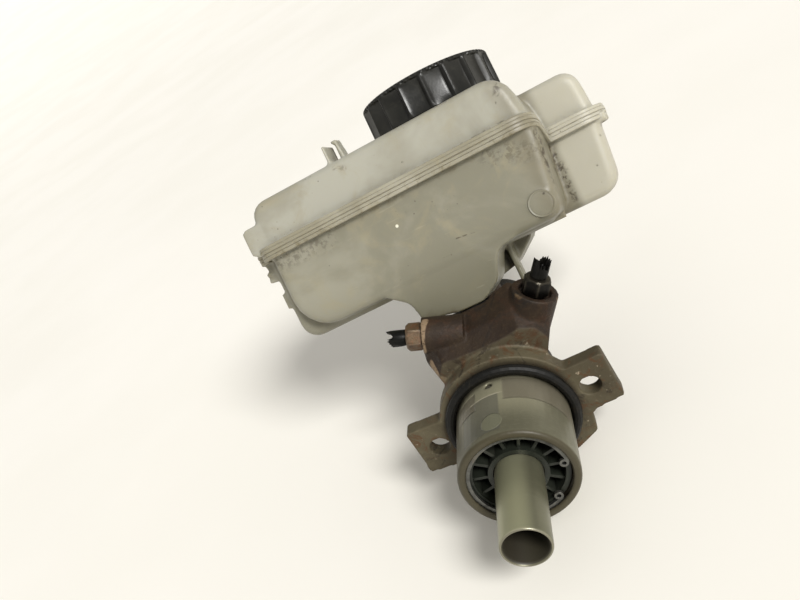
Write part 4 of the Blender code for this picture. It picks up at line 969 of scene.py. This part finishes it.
def build_disc():
    """The round moulded boss low on the front face."""
    outline = [
        (0.6, -0.6),
        (7.2, -0.6),
        (7.1, 0.35),
        (6.7, 0.75),
        (6.2, 0.7),
        (5.9, 0.4),
        (5.6, 0.3),
        (0.6, 0.3),
    ]
    mesh = bmesh.new()
    lathe(mesh, outline, reservoir_place(59.2, 8.0, 93.0) @ Matrix.Rotation(math.pi / 2, 4, "X"), 64)
    new_piece("front_disc", mesh, "housing", shell_lower_shaded, (), 40.0)


def build_spring(node, body):
    """A coil spring, which rides on the piston behind it."""
    coil = new_piece(node + "_coil", copy_of(node), body, spring_steel, (node,), 40.0)
    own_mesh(coil)


build_spring("primary_spring", "primary")
build_spring("secondary_spring", "secondary")
build_cap()
build_seam()
build_disc()
build_piston()
right_outlet = leaving(RIGHT_FACE, RIGHT_ANGLE)
left_outlet = leaving(LEFT_FACE, LEFT_ANGLE)
build_nut("right", right_outlet, -1.2, RIGHT_NUT_TOP, dark_steel)
build_nut("left", left_outlet, -0.2, LEFT_NUT_TOP, rusty_steel)
build_stub("right", right_outlet, RIGHT_NUT_TOP, 1.5)
build_stub("left", left_outlet, LEFT_NUT_TOP, 6.0)


# ---------------------------------------------------------------- floor, light and camera


FLOOR_RINGS = (0.6, 1.2, 2.0, 3.0, 4.5, 6.0, 8.0, 10.0, 12.0, 14.0)
FLOOR_GAP = 0.0005
FLAT_FLOOR_R = 2.0
FLOOR_RISE = 0.014
KEY_TOWARDS = Vector((0.55, -0.6, 0.58))
KEY_STRENGTH = 3.3
KEY_SOFTNESS = math.radians(18.0)
SKY_STRENGTH = 0.46
CAMERA_AT = (0.10538, -0.34806, 0.26133)
CAMERA_ACROSS = Vector((0.86195, 0.05069, -0.50446))
CAMERA_DOWN = Vector((-0.41016, -0.51516, -0.75258))
CAMERA_AHEAD = Vector((-0.29803, 0.8556, -0.42325))
CAMERA_LENS = 38.25


def build_floor():
    """A plain pale floor under the object, which rises gently far away like a studio sweep."""
    mesh = bmesh.new()
    steps = 64
    rings = []
    for radius in FLOOR_RINGS:
        level = cad_low.z - FLOOR_GAP + FLOOR_RISE * max(radius - FLAT_FLOOR_R, 0.0) ** 2
        ring = []
        for step in range(steps):
            angle = FULL_TURN * step / steps
            ring.append(mesh.verts.new((radius * math.cos(angle), radius * math.sin(angle), level)))
        rings.append(ring)
    mesh.faces.new(rings[0])
    bridge(mesh, rings[::-1])
    data = bpy.data.meshes.new("floor")
    mesh.to_mesh(data)
    mesh.free()
    data.shade_smooth()
    nodes = Nodes("floor")
    shade = nodes.mix(nodes.ramp(nodes.noise(3.0, 3.0), 0.35, 0.65), (250, 247, 240), (247, 244, 236))
    rough = nodes.ramp(nodes.noise(9.0), 0.3, 0.7, 0.55, 0.65)
    data.materials.append(nodes.finish(shade, rough, Specular_IOR_Level=0.2))
    floor = bpy.data.objects.new("floor", data)
    bpy.context.scene.collection.objects.link(floor)


def build_light():
    """One large soft light from the right, and an even pale surrounding."""
    data = bpy.data.lights.new("key", "SUN")
    data.energy = KEY_STRENGTH
    data.angle = KEY_SOFTNESS
    data.color = (1.0, 0.99, 0.965)
    key = bpy.data.objects.new("key", data)
    key.rotation_euler = (-KEY_TOWARDS).to_track_quat("-Z", "Y").to_euler()
    bpy.context.scene.collection.objects.link(key)
    world = bpy.data.worlds.new("studio")
    world.use_nodes = True
    sky = world.node_tree.nodes["Background"]
    sky.inputs["Color"].default_value = (1.0, 0.985, 0.95, 1.0)
    sky.inputs["Strength"].default_value = SKY_STRENGTH
    bpy.context.scene.world = world
    bpy.context.scene.view_settings.view_transform = "Standard"


def build_camera():
    """A view from above and behind the spigot, rolled to the left."""
    data = bpy.data.cameras.new("camera")
    data.lens = CAMERA_LENS
    data.sensor_width = 36.0
    data.clip_start = 0.01
    made = bpy.data.objects.new("camera", data)
    turn = Matrix((CAMERA_ACROSS, -CAMERA_DOWN, -CAMERA_AHEAD)).transposed().to_4x4()
    made.matrix_world = Matrix.Translation(CAMERA_AT) @ turn
    bpy.context.scene.collection.objects.link(made)
    bpy.context.scene.camera = made


build_floor()
build_light()
build_camera()

bpy.context.view_layer.update()
